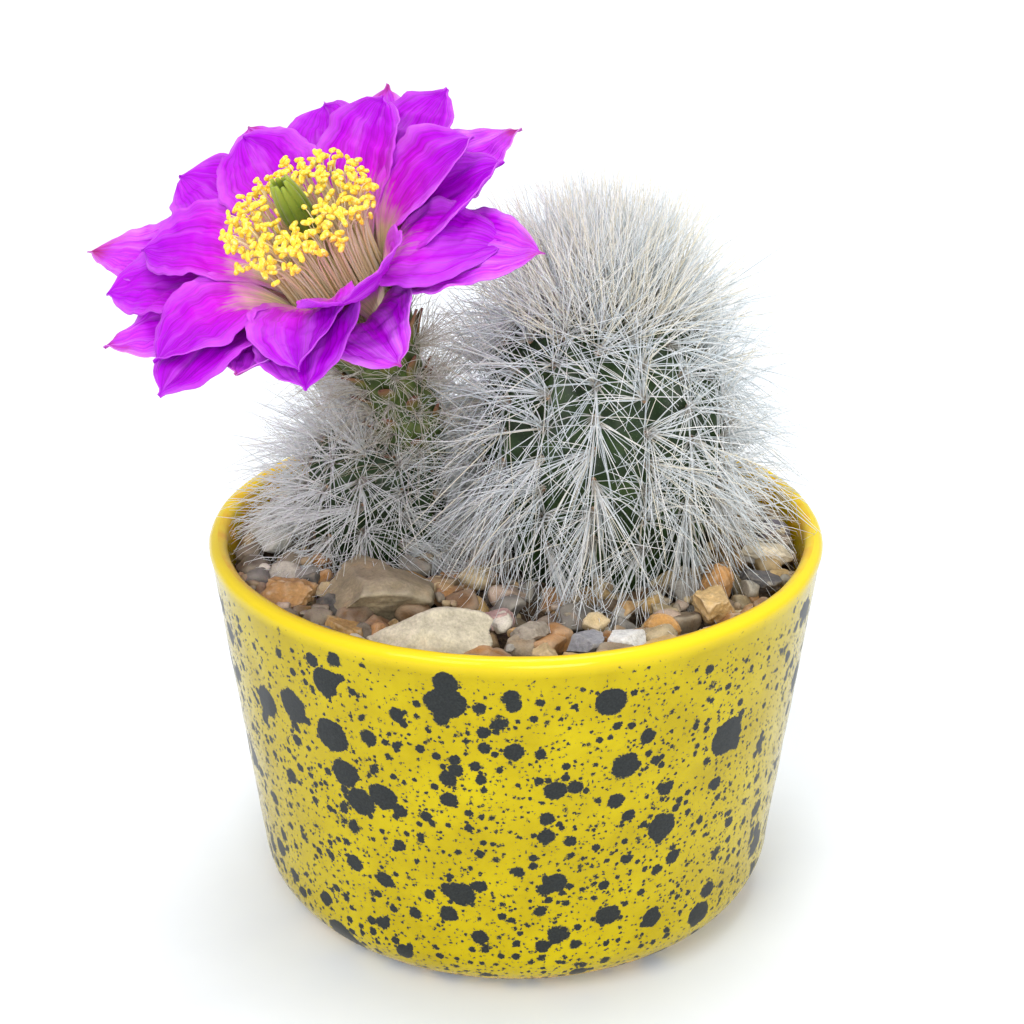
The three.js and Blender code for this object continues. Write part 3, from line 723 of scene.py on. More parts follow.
def cactus_skin():
    """Living epidermis: waxy dark green in broad patches, with fine paler dots."""
    material, tree, shader = surface(
        "cactus_epidermis", Roughness=0.48, IOR=1.42, Subsurface_Weight=0.12, Subsurface_Scale=0.002
    )
    mm = in_mm(tree)
    patches = add(tree, "TexNoise", {"Vector": mm, "Scale": 0.22, "Detail": 4.0})
    greens = [(0.3, "#18260F"), (0.5, "#243A1A"), (0.72, "#3A5026")]
    green = add(tree, "ValToRGB", {"Fac": patches}, stops=greens)
    dots = add(tree, "TexVoronoi", {"Vector": mm, "Scale": 2.2})
    dotted = add(tree, "MapRange", span(dots.outputs["Distance"], 0.1, 0.3, 0.4, 0.0))
    dress(tree, shader, covered(tree, green, (dotted, "#5E6E48")), patches, 0.3, 0.0004)
    return material


def areole_felt():
    """Short woolly felt in the areoles: matt, tan to reddish brown."""
    material, tree, shader = surface("areole_felt", Roughness=0.95, Sheen_Weight=0.4, Sheen_Roughness=0.5)
    mm = in_mm(tree)
    wool = add(tree, "TexNoise", {"Vector": mm, "Scale": 1.9, "Detail": 3.0})
    tans = [(0.35, "#6E4A35"), (0.55, "#B08F70"), (0.75, "#D9CBB4")]
    dress(tree, shader, add(tree, "ValToRGB", {"Fac": wool}, stops=tans))
    return material


def make_stem(stem, name, node, skin):
    rows = np.linspace(0.0, 0.999, 150)
    columns = stem["ribs"] * 18
    bearing, share = np.meshgrid(np.arange(columns) * TURN / columns, rows)
    grid = stem_skin(stem, bearing, share)
    centre = [stem["x"], stem["y"], 0]
    ends = np.array([grid[0].mean(0), grid[-1].mean(0)])
    points, faces = closed_rings(grid, ends)
    points = points + unit(points - centre) * 0.12 * wavy(points, 4, 8)[:, None]
    piece = mesh_piece(name, points, faces, skin)
    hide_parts(node)


def areoles(stem):
    """Bearings and shares of the areoles: one row on every rib, closer together at the crown."""
    lowest, highest = 0.2, 0.985
    shares = np.linspace(lowest, highest, 400)
    radius, height = stem_outline(stem, shares)
    length = np.concatenate([[0], np.cumsum(np.hypot(np.diff(radius), np.diff(height)))])
    bearings, places = [], []
    for rib in range(stem["ribs"]):
        along = (rib % 2) * stem["spacing"] / 2
        while along < length[-1]:
            place = float(np.interp(along, length, shares))
            bearings.append(TURN * rib / stem["ribs"])
            places.append(place)
            along += stem["spacing"] * (1 - 0.5 * smoothstep(0.6, 0.95, place))
    return np.array(bearings), np.array(places)


def make_areole_pads(stem, name, felt, node):
    bearing, share = areoles(stem)
    point, upward, sideways, outward = skin_frame(stem, bearing, share)
    parts = []
    for i in range(len(bearing)):
        local = BEAD[0] * [0.62, 0.85, 0.42] * (0.8 if share[i] < 0.9 else 1.0)
        turned = local @ np.stack([sideways[i], upward[i], outward[i]])
        parts.append((turned + point[i] + outward[i] * 0.12, [BEAD[1]]))
    pads = mesh_piece(name, *joined(parts), felt)
    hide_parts(node)


def keep_off(paths, ground):
    """Bends strands that would go through the gravel or the pot's wall so that they lie on it."""
    above, off_wall, over_lip = 0.15, 0.2, 0.6
    index = np.clip(((paths[..., :2] + GROUND_HALF) / GROUND_STEP).astype(int), 0, ground.shape[0] - 1)
    floor = ground[index[..., 0], index[..., 1]] + above
    paths[..., 2] = np.maximum(paths[..., 2], floor)
    radius = np.hypot(paths[..., 0], paths[..., 1])
    wall = pot_outer_radius(POT_HEIGHT) - POT_WALL - off_wall
    low = paths[..., 2] < POT_HEIGHT + over_lip
    pull = np.where(low & (radius > wall), wall / np.maximum(radius, 1e-6), 1.0)
    paths[..., :2] *= pull[..., None]
    return paths


def bristle(name, stops, base_colour, through):
    """Spines, hairs and filaments: thin dry or fleshy strands that catch the light and let some
    of it through, so that a dense coat stays pale. Each strand takes its own tone from the
    palette, and is darker at its base."""
    material, tree, shader = surface(name, Roughness=0.42, IOR=1.5, Sheen_Weight=0.5, Sheen_Roughness=0.4)
    place = add(tree, "UVMap", uv_map="OFBake")
    split = add(tree, "SeparateXYZ", {"Vector": place})
    tone = add(tree, "ValToRGB", {"Fac": split.outputs["X"]}, stops=stops)
    base = add(tree, "MapRange", span(split.outputs["Y"], 0.0, 0.16, 0.55, 0.0))
    shaded = covered(tree, tone, (base, base_colour))
    dress(tree, shader, shaded)
    glow = add(tree, "BsdfTranslucent", {"Color": shaded})
    both = add(tree, "MixShader", {0: through, 1: shader, 2: glow})
    tree.links.new(both.outputs[0], tree.nodes["Material Output"].inputs["Surface"])
    return material


def spine_cluster(rng, stem, bearing, share, ground, radial, central, reach, sweep):
    """Paths and widths of every spine of a stem's areoles. Low on the stem the spines of an areole
    hang together in a bundle, drawn aside by sweep; near the crown they stand up."""
    point, upward, sideways, outward = skin_frame(stem, bearing, share)
    roots, directions, lengths, sags, thick = [], [], [], [], []
    height = (point[:, 2] - GRAVEL_TOP) / stem["height"]
    count = radial + central
    is_central = np.arange(count) >= radial
    for i in range(len(bearing)):
        low = float(1 - smoothstep(0.0, 0.85, height[i]))
        crown = float(smoothstep(0.84, 1.0, height[i]))
        angle = (np.arange(count) + rng.uniform(0, 1)) * TURN / radial + rng.normal(0, 0.45, count)
        lift = np.radians(rng.uniform(0, 1, count) ** 1.3 * 56 + 6 + 22 * crown)
        lift[is_central] = np.radians(rng.uniform(42, 85, central))
        flat = np.cos(angle)[:, None] * sideways[i] + np.sin(angle)[:, None] * upward[i]
        direction = np.cos(lift)[:, None] * flat + np.sin(lift)[:, None] * outward[i]
        hanging = outward[i] * 0.6 - UP * 0.8 + sideways[i] * rng.normal(0, 0.3) + sweep
        gathered = (low * rng.uniform(0.0, 1.0, count))[:, None]
        askew = rng.normal(0, 0.4) * sideways[i] + rng.normal(0, 0.4) * upward[i]
        askew = askew + rng.normal(0, 0.1, (count, 3))
        direction = unit(direction) * (1 - gathered) + unit(hanging) * gathered + UP * 0.55 * crown + askew
        length = reach * rng.uniform(0.62, 1.15, count) * (1 - 0.14 * np.sin(angle))
        length[is_central] *= rng.uniform(0.85, 1.25, central)
        length *= 1 + 0.34 * low + 0.05 * crown
        roots.append(point[i] + outward[i] * 0.2 + rng.normal(0, 0.3, (count, 3)))
        directions.append(unit(direction))
        lengths.append(length)
        sags.append(np.full(count, 0.07 + 0.22 * low - 0.04 * crown) * rng.uniform(0.3, 1.6, count))
        thick.append(rng.uniform(0.14, 0.24, count) * np.where(is_central, 1.4, 1))
    roots, directions = np.concatenate(roots), np.concatenate(directions)
    lengths, sags, thick = np.concatenate(lengths), np.concatenate(sags), np.concatenate(thick)
    paths = bent_paths(rng, roots, directions, lengths, sags, 0.16)
    return keep_off(paths, ground), tapered(lengths, thick, 0.05, paths.shape[1], 1.3)


# the brush at the crown parts into locks: so many round it, and so many from its middle to its edge
LOCKS_ROUND = 22
LOCKS_OUT = 6


def crown_tuft(rng, stem, count, reach, spread):
    """The young spines at the growing point, standing up in a dense brush that opens outwards."""
    share = np.minimum(1 - rng.uniform(0, 1, count) ** 0.7 * spread, 0.985)
    bearing = rng.uniform(0, TURN, count)
    point, _, _, outward = skin_frame(stem, bearing, share)
    edge = (1 - share) / spread
    lock_round = (bearing / TURN * LOCKS_ROUND).astype(int)
    lock_out = (edge * (LOCKS_OUT - 0.01)).astype(int)
    lock = lock_round * LOCKS_OUT + lock_out
    lean = rng.normal(0, 0.22, (LOCKS_ROUND * LOCKS_OUT, 3))[lock] + rng.normal(0, 0.2, (count, 3))
    direction = unit(outward + UP * (0.9 - 0.8 * edge)[:, None] + lean)
    lengths = reach * rng.uniform(0.32, 1.1, count) ** 0.8 * (1 - 0.12 * edge)
    paths = bent_paths(rng, point, direction, lengths, 0.04, 0.10)
    return paths, tapered(lengths, rng.uniform(0.16, 0.23, count), 0.05, paths.shape[1], 1.3)


def spine_coat(rng, ground, prefix, stem, share_out, material, areole, brush, tone, brush_tone):
    """All the spines of a stem: those of its areoles, shared out among some pieces, and the brush."""
    bearing, share = areoles(stem)
    for k, chosen in enumerate(share_out(bearing)):
        paths, widths = spine_cluster(rng, stem, bearing[chosen], share[chosen], ground, *areole)
        tones = np.clip(rng.normal(*tone, len(paths)), 0, 1)
        piece = strand_mesh(f"{prefix}_spines_{k + 1}", paths, widths, tones, material)
        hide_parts(f"{prefix}_spines")
    paths, widths = crown_tuft(rng, stem, *brush)
    tones = np.clip(rng.normal(*brush_tone, len(paths)), 0, 1)
    tuft = strand_mesh(f"{prefix}_crown_tuft", paths, widths, tones, material)
    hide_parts(f"{prefix}_spines")


SPINE_SECTORS = 5  # pieces that the main stem's spines are shared out among


def in_sectors(bearing):
    sector = (bearing / TURN * SPINE_SECTORS).astype(int) % SPINE_SECTORS
    return [sector == k for k in range(SPINE_SECTORS)]


def in_halves(bearing):
    return [np.cos(bearing) > 0, np.cos(bearing) <= 0]


def make_spines(ground):
    rng = np.random.default_rng(77)
    silver = [(0.0, "#C9D0D2"), (0.35, "#EEF4F7"), (0.65, "#FFFFFF"), (1.0, "#FFF9E8")]
    grey = [(0.0, "#E9ECEC"), (0.4, "#F8FAFA"), (0.75, "#FEFEFD"), (1.0, "#FDF9EC")]
    silver_spine = bristle("silver_spine", silver, "#D2BF9E", 0.4)
    grey_spine = bristle("grey_spine", grey, "#CBB99C", 0.55)
    # an areole's radial and central spines, their reach in mm and the way they are swept, which for
    # the offset is away from the main stem; then the brush's spines, their reach and their spread;
    # then the mean and the scatter of the tones
    upright = np.zeros(3)
    swept = np.array([-0.45, -0.1, 0.0])
    main = (26, 9, 15.0, upright), (1350, 21.5, 0.27), (0.5, 0.22), (0.82, 0.15)
    offset = (27, 11, 12.8, swept), (480, 11.5, 0.3), (0.45, 0.22), (0.6, 0.2)
    spine_coat(rng, ground, "main", MAIN, in_sectors, silver_spine, *main)
    spine_coat(rng, ground, "offset", OFFSET, in_halves, grey_spine, *offset)


# ---------------------------------------------------------------- flower tube
def tube_axis(share):
    """Points on the tube's bent centre line and its direction there, from foot (0) to rim (1)."""
    share = np.asarray(share)[..., None]
    point = (1 - share) ** 2 * TUBE_SEAT + 2 * share * (1 - share) * TUBE_BEND + share**2 * TUBE_RIM
    along = unit((1 - share) * (TUBE_BEND - TUBE_SEAT) + share * (TUBE_RIM - TUBE_BEND))
    return point, along


TUBE_ACROSS = np.array([-math.sin(FLOWER_BEARING), math.cos(FLOWER_BEARING), 0])


def tube_point(bearing, share, radius):
    point, along = tube_axis(share)
    outward = np.cross(TUBE_ACROSS, along)
    ring = np.cos(bearing)[..., None] * outward + np.sin(bearing)[..., None] * TUBE_ACROSS
    return point + ring * np.asarray(radius)[..., None], ring, along


def tube_radius(share):
    ovary = 1.5 * np.sin(math.pi * np.minimum(1, share / 0.5)) ** 2
    return 3.8 + ovary + 4.5 * share**2


def tube_skin():
    """Fleshy flower tube: smooth mid green in patches, cream inside the throat."""
    material, tree, shader = surface(
        "flower_tube_skin", Roughness=0.42, IOR=1.42, Subsurface_Weight=0.15, Subsurface_Scale=0.002
    )
    mm = in_mm(tree)
    patches = add(tree, "TexNoise", {"Vector": mm, "Scale": 0.3, "Detail": 3.0})
    greens = [(0.3, "#34451C"), (0.5, "#4C5E2A"), (0.7, "#727A46")]
    tone = add(tree, "ValToRGB", {"Fac": patches}, stops=greens)
    in_throat = painted_values(tree)[0]
    dress(tree, shader, covered(tree, tone, (in_throat, "#FBE8BE")))
    return material


def scale_skin():
    """Tube scales: green at the base, drying to pinkish brown at the tip."""
    material, tree, shader = surface("tube_scale", Roughness=0.5, IOR=1.42)
    drying = [(0.0, "#4F6429"), (0.4, "#6F7038"), (0.75, "#8E6848"), (1.0, "#6E4238")]
    dress(tree, shader, add(tree, "ValToRGB", {"Fac": painted_values(tree)[0]}, stops=drying))
    return material


def hair_wool():
    """Long, soft, wavy hairs from the tube's areoles: pale, some of them brown."""
    fawns = [(0.0, "#A08C72"), (0.2, "#D0C6B2"), (0.6, "#E9E5DA"), (1.0, "#F7F5EE")]
    return bristle("tube_hair", fawns, "#D8CDB4", 0.3)


def sheet_solid(name, grid, thickness, material, along, across):
    """A closed sheet round a grid of points, thinner towards its tip, with each point's place
    along and across it stored for the material."""
    rows, columns, _ = grid.shape
    normal = unit(np.cross(np.gradient(grid, axis=1), np.gradient(grid, axis=0)))
    thin = (thickness / 2) * (1.25 - 0.75 * along)[..., None]
    points = np.concatenate([(grid + normal * thin).reshape(-1, 3), (grid - normal * thin).reshape(-1, 3)])
    top = grid_faces(rows, columns, False)
    under = top[:, ::-1] + rows * columns
    index = np.arange(rows * columns).reshape(rows, columns)
    edge = np.concatenate([index[0], index[1:, -1], index[-1, -2::-1], index[-2:0:-1, 0]])
    following = np.roll(edge, -1)
    rim = np.stack([following, edge, edge + rows * columns, following + rows * columns], -1)
    piece = mesh_piece(name, points, [top, under, rim], material)
    place = np.stack([along, across, np.zeros_like(along)], -1).reshape(-1, 3)
    paint(piece, "tint", np.concatenate([place, place]))
    return piece


def make_tube(ground):
    rng = np.random.default_rng(12)
    skin, scales, wool = tube_skin(), scale_skin(), hair_wool()
    rows, columns = 60, 72
    rim, throat_floor = 0.985, 0.70
    bearing, share = np.meshgrid(np.arange(columns) * TURN / columns, np.linspace(0, rim, rows))
    fluted = 1 + 0.02 * np.cos(bearing * 8)
    outer, _, _ = tube_point(bearing, share, tube_radius(share) * fluted)
    inner_share = np.linspace(rim, throat_floor, 16)
    inner_bearing, inner_rows = np.meshgrid(np.arange(columns) * TURN / columns, inner_share)
    inner_radius = np.minimum(tube_radius(inner_rows) - 1.0, 4.6 + 14 * np.maximum(inner_rows - 0.86, 0))
    inner, _, _ = tube_point(inner_bearing, inner_rows, inner_radius)
    ends = np.array([tube_axis(0.0)[0], tube_axis(throat_floor)[0]])
    points, faces = closed_rings(np.concatenate([outer, inner]), ends)
    tube = mesh_piece("funnel_tube", points, faces, skin)
    throat = np.zeros((len(points), 3))
    throat[rows * columns : -2] = 1
    throat[-1] = 1
    paint(tube, "tint", throat)
    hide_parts("flower_tube")

    # scales stand in a spiral, longer towards the rim; hairs and bristles grow at their feet
    golden = TURN * 0.381966
    thickness = 0.35
    count = 34
    roots, ways, lengths = [], [], []
    for i in range(count):
        place = 0.10 + 0.84 * (i / count) ** 0.9
        turn = i * golden
        long = 2.6 + 6.0 * place
        wide = 1.5 + 1.3 * place
        v, u = np.meshgrid(np.linspace(0, 1, 14), np.linspace(-1, 1, 9), indexing="ij")
        outline = wide / 2 * np.sin(math.pi * np.clip(v * 0.86 + 0.14, 0, 1)) ** 0.8 + 0.05
        spot_share = np.clip(place + v * long / TUBE_LENGTH * 0.92, 0, 1.08)
        base_radius = tube_radius(np.minimum(spot_share, 1.0))
        radius = base_radius + 0.15 + 0.55 * v + 1.3 * v**2.5 - 0.35 * u**2
        spot, _, _ = tube_point(turn + u * outline / base_radius, spot_share, radius)
        scale = sheet_solid(f"tube_scale_{i + 1}", spot, thickness, scales, v, u)
        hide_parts("flower_tube")
        hairs = 32 if place < 0.8 else 14
        places = np.full(hairs, place)
        foot, ring, along = tube_point(np.full(hairs, turn), places, tube_radius(places) + 0.2)
        spread = rng.normal(0, 0.42, (hairs, 3))
        roots.append(foot + rng.normal(0, 0.25, (hairs, 3)))
        ways.append(unit(ring * 0.8 + along * rng.uniform(0.0, 0.9, (hairs, 1)) + spread))
        lengths.append(rng.uniform(7, 15, hairs) * (1.05 - 0.3 * place))
    roots, ways, lengths = np.concatenate(roots), np.concatenate(ways), np.concatenate(lengths)
    paths = bent_paths(rng, roots, ways, lengths, 0.06, 0.22, steps=12)
    share = np.linspace(0, 1, 12)
    phase = rng.uniform(0, TURN, (len(roots), 2))
    wobble = np.sin(share * 9 + phase[:, :1])[..., None] * unit(np.cross(ways, UP))[:, None]
    wobble = wobble + np.sin(share * 7 + phase[:, 1:])[..., None] * UP
    paths = paths + wobble * (0.5 * share)[None, :, None]
    tones = rng.uniform(0, 1, len(roots))
    widths = tapered(lengths, 0.13, 0.05, 12)
    fleece = strand_mesh("tube_hairs", keep_off(paths, ground), widths, tones, wool, 3)
    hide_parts("flower_tube")


# ---------------------------------------------------------------- petals
PETAL_FLARE = 6.0  # the radius over which a petal turns from upright to spreading
PETAL_THICKNESS = 0.3
# each whorl as in the frame: the blade narrows the later the larger its taper is, and tip is the
# share of its width that runs out into the point; then, for each petal, shapes gives its change in
# reach, its lift, droop and cup, and its sway to one side in degrees
WHORLS = {
    "outer_tepal": {
        "turn": 18, "foot": 7.8, "rise": 14, "wide": 20.0, "taper": 3.0, "tip": 0.16,
        "reaches": [35, 34, 34, 37, 36, 29, 31, 37],
        "shapes": [
            (0, 1.0, 0.0, 0.10, 0),
            (0, 1.5, -1.0, 0.05, 4),
            (4, 1.5, 0.0, 0.08, 0),
            (5, 2.5, 0.0, 0.10, 4),
            (-1, 2.5, -0.5, 0.06, -4),
            (-2, 3.5, 1.0, 0.12, 0),
            (0, 1.0, 3.0, 0.18, 3),
            (0, 0.0, 2.5, 0.04, 2),
        ],
    },
    "middle_petal": {
        "turn": -4.5, "foot": 6.6, "rise": 17, "wide": 21.5, "taper": 3.9, "tip": 0.12,
        "reaches": [33, 34, 31, 35, 34, 33, 30, 30],
        "shapes": [
            (-2, 1.0, 0.0, 0.12, 4),
            (-2, 1.0, -0.5, 0.14, 2),
            (1, 0.5, 0.0, 0.10, 0),
            (0, 1.0, 0.5, 0.10, 0),
            (1, 0.0, 0.5, 0.12, -3),
            (0, 0.0, 1.5, 0.10, 0),
            (0, 0.0, 2.5, 0.18, 0),
            (-1, 7.0, -1.0, 0.34, -24),
        ],
    },
    "inner_petal": {
        "turn": 8, "foot": 5.4, "rise": 20, "wide": 18.5, "taper": 4.6, "tip": 0.1,
        "reaches": [29, 29, 28, 29, 29, 28, 28],
        "shapes": [
            (-1, 1.0, 0.0, 0.16, 0),
            (-2, 0.5, 0.0, 0.16, 0),
            (0, 0.5, 0.0, 0.14, 0),
            (0, 0.0, 1.0, 0.14, 0),
            (1, -1.0, 1.5, 0.14, 0),
            (0, -1.0, 2.5, 0.18, 0),
            (3, -7.0, 1.0, 0.05, 22),
        ],
    },
}


def petal_tissue(name, stops, edge):
    """Fresh petals: thin, satin, strongly coloured tissue that lets some light through. The colour
    deepens outwards from a cream throat, along fine lengthwise veins, and pales at the margin."""
    material, tree, shader = surface(
        name,
        Roughness=0.5,
        IOR=1.33,
        Specular_IOR_Level=0.3,
        Subsurface_Weight=0.25,
        Subsurface_Radius=(1.0, 0.1, 0.9),
        Subsurface_Scale=0.0012,
    )
    along, across, _ = painted_values(tree)
    mm = in_mm(tree)
    patches = add(tree, "TexNoise", {"Vector": mm, "Scale": 0.16, "Detail": 3.0})
    streaked = add(tree, "CombineXYZ", {"X": across, "Y": along})
    stretch = add(tree, "VectorMath", {0: streaked, 1: (17.0, 1.3, 1.0)}, operation="MULTIPLY")
    veins = add(tree, "TexNoise", {"Vector": stretch, "Scale": 1.0, "Detail": 3.0, "Roughness": 0.6})
    shift = add(tree, "MapRange", span(patches, 0.3, 0.7, -0.09, 0.09))
    vein_shift = add(tree, "MapRange", span(veins, 0.3, 0.7, -0.09, 0.09))
    placed = add(tree, "Math", {0: along, 1: shift}, operation="ADD")
    placed = add(tree, "Math", {0: placed, 1: vein_shift}, operation="ADD")
    ramp = add(tree, "ValToRGB", {"Fac": placed}, stops=stops)
    vein_tone = add(tree, "MapRange", span(veins, 0.35, 0.65, 0.6, 1.16))
    body = add(tree, "VectorMath", {0: ramp, "Scale": vein_tone}, operation="SCALE")
    # sun and age bleach the outer half in broad soft streaks
    leafwise = add(tree, "VectorMath", {0: mm, 1: (0.05, 0.05, 0.05)}, operation="MULTIPLY")
    widened = {0: streaked, 1: (3.2, 1.4, 1.0), 2: leafwise}
    streaks = add(tree, "VectorMath", widened, operation="MULTIPLY_ADD")
    bleaching = add(tree, "TexNoise", {"Vector": streaks, "Scale": 1.0, "Detail": 4.0, "Roughness": 0.6})
    bleached = add(tree, "MapRange", span(bleaching, 0.5, 0.68, 0.0, 0.4))
    bleached = add(tree, "Math", {0: bleached, 1: along}, operation="MULTIPLY")
    aside = add(tree, "Math", {0: across}, operation="ABSOLUTE")
    fading = add(tree, "Math", {0: patches, 1: 0.9, 2: aside}, operation="MULTIPLY_ADD")
    margin = add(tree, "MapRange", span(fading, 1.1, 1.55, 0.0, 0.5))
    edged = covered(tree, body, (bleached, edge), (margin, edge))
    dress(tree, shader, edged, veins, 0.35, 0.0003)
    return material


def petal_grid(rng, whorl, index):
    reach_more, lift, droop, cup, sway = whorl["shapes"][index]
    reach = whorl["reaches"][index] + reach_more
    bearing = math.radians(whorl["turn"]) + TURN * index / len(whorl["reaches"])
    v, u = np.meshgrid(np.linspace(0, 1, 72), np.linspace(-1, 1, 33), indexing="ij")
    share = v**1.25
    foot, rise = whorl["foot"], whorl["rise"]
    radius = foot + (reach - foot) * share
    blade = smoothstep(-0.12, 0.6, share) * (1 - np.minimum(share / 0.97, 1) ** whorl["taper"]) ** 0.72
    point = whorl["tip"] * rng.uniform(0.6, 1.1) * np.clip((1 - share) / 0.11, 0, 1) ** 1.4 + 0.012
    blade = (blade**4 + point**4) ** 0.25
    # the two margins are nibbled and scalloped differently
    ragged = np.ones_like(v)
    for teeth, depth in ((13, 0.05), (37, 0.03), (83, 0.02)):
        phases = rng.uniform(0, TURN, 2)
        side = np.where(u > 0, phases[0], phases[1])
        ragged = ragged + depth * np.sin(v * teeth + side) * smoothstep(0.35, 0.7, v)
    half = (whorl["wide"] / 2) * blade * ragged + 0.22 * (1 - share)
    height = rise * (1 - np.exp((foot - radius) / PETAL_FLARE)) + lift * share**2 - droop * share**3
    slope = (rise / PETAL_FLARE) * np.exp((foot - radius) / PETAL_FLARE)
    out_r, out_h = -slope / np.hypot(slope, 1), 1 / np.hypot(slope, 1)
    # the blade is channelled along its midrib, cupped, and waves towards its margin
    channel = -0.6 * np.exp(-((u / 0.22) ** 2)) * smoothstep(0.1, 0.5, v) * (1 - v) ** 0.3
    cupped = cup * u**2 * half
    waves = np.sin(v * rng.uniform(9, 13) + rng.uniform(0, TURN)) * u**3
    waves = waves + np.sin(v * rng.uniform(7, 11) + rng.uniform(0, TURN)) * u**2 * 0.6
    pleats = 0.13 * np.sin(u * 17 + 2 * v + rng.uniform(0, TURN)) * smoothstep(0.15, 0.5, v) * (1 - v**6)
    raised = channel + cupped + 0.9 * waves * smoothstep(0.3, 0.85, v) * (1 - 0.6 * v**8) + pleats
    angle = bearing + math.radians(sway) * share - u * half / radius
    crumpled = np.stack([v * reach, u * half, np.full_like(v, 7.0 * index)], -1)
    raised = raised + 0.42 * wavy(crumpled, 6.5, int(reach * 7 + index)) * smoothstep(0.25, 0.7, v)
    radius = radius + out_r * raised
    height = height + out_h * raised
    grid = np.stack([radius * np.cos(angle), radius * np.sin(angle), height], -1)
    return in_flower(grid), v, u


INNER_TONES = [(0.0, "#FBF0C4"), (0.26, "#FCE2BC"), (0.37, "#F6ACD8")]
INNER_TONES += [(0.5, "#CC08D8"), (0.72, "#B400D4"), (1.0, "#A800D4")]
OUTER_TONES = [(0.0, "#B9BC80"), (0.22, "#DDA8B8"), (0.42, "#CA2CE0")]
OUTER_TONES += [(0.7, "#BC00DE"), (0.9, "#C63CE8"), (1.0, "#A82878")]


def make_petals():
    rng = np.random.default_rng(40)
    inner = petal_tissue("petal_tissue", INNER_TONES, "#DA70F2")
    outer = petal_tissue("outer_tepal_tissue", OUTER_TONES, "#E49AF6")
    for name, whorl in WHORLS.items():
        for index in range(len(whorl["reaches"])):
            grid, along, across = petal_grid(rng, whorl, index)
            tissue = outer if name == "outer_tepal" else inner
            petal = sheet_solid(f"{name}_blade_{index + 1}", grid, PETAL_THICKNESS, tissue, along, across)
            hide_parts(f"{name}_{index + 1}")


# ---------------------------------------------------------------- stamens and pistil
def pollen():
    """Ripe anthers: powdery bright yellow, with painted shade that turns them more orange in the hollows of
    the bump.
    """
    material, tree, shader = surface(
        "pollen_yellow", Roughness=0.85, IOR=1.33, Subsurface_Weight=0.2, Subsurface_Scale=0.0006
    )
    mm = in_mm(tree)
    powder = add(tree, "TexNoise", {"Vector": mm, "Scale": 2.4, "Detail": 3.0})
    # the low, orange stop is painted shade: it falls where the noise is low, which is also where the bump
    # is lowest
    yellows = [(0.3, "#F6C030"), (0.5, "#FFE04C"), (0.7, "#FFF2A0")]
    dress(tree, shader, add(tree, "ValToRGB", {"Fac": powder}, stops=yellows), powder, 0.5, 0.0002)
    return material


def make_stamens():
    """Filaments rise from the throat's wall and spread into a broad ring of anthers."""
    rng = np.random.default_rng(9)
    count = 360
    golden = 0.618034
    inmost, breadth, dome_height = 2.9, 9.0, 22.4
    bearing = np.arange(count) * TURN * golden + rng.normal(0, 0.1, count)
    order = np.sqrt((np.arange(count) + 0.5) / count)
    top_radius = inmost + breadth * order + rng.normal(0, 0.5, count)
    top_height = dome_height - 0.05 * (top_radius - 7) ** 2 + rng.normal(0, 0.9, count)
    foot_radius = 4.4 + 3.2 * order
    foot_height = -3 + 10.5 * order**2
    steps = 9
    share = np.linspace(0, 1, steps)[None]
    swing = rng.normal(0, 0.12, count)[:, None]
    angle = bearing[:, None] + swing * share**2
    bow = np.sin(share * math.pi / 2)
    radius = foot_radius[:, None] + (top_radius - foot_radius)[:, None] * share**1.7
    height = foot_height[:, None] + (top_height - foot_height)[:, None] * bow
    paths = in_flower(np.stack([radius * np.cos(angle), radius * np.sin(angle), height], -1))
    creams = [(0.0, "#FFEFC0"), (0.5, "#FFF6D2"), (1.0, "#FFFCE6")]
    filament = bristle("stamen_filament", creams, "#FFF0CC", 0.4)
    tones = rng.uniform(0, 1, count)
    widths = tapered(np.ones(count), 0.40, 0.13, steps)
    threads = strand_mesh("filaments", paths, widths, tones, filament, 5)
    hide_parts("stamens")

    parts = []
    ends = paths[:, -1]
    tangents = unit(paths[:, -1] - paths[:, -3])
    for i in range(count):
        # two joined pollen sacs, side by side along the anther's length
        local = BEAD[0].copy()
        waist = 1 - 0.25 * np.exp(-((local[:, 0] / 0.3) ** 2))
        local = local * [0.86, 0.50, 0.45] * waist[:, None] * rng.uniform(0.82, 1.15)
        along = unit(np.cross(tangents[i], rng.normal(size=3)) + tangents[i] * rng.normal(0, 0.5))
        side = unit(np.cross(along, tangents[i]))
        local = local @ np.stack([along, side, np.cross(along, side)])
        parts.append((local + ends[i] + tangents[i] * 0.2, [BEAD[1]]))
    anthers = mesh_piece("anthers", *joined(parts), pollen())
    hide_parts("stamens")


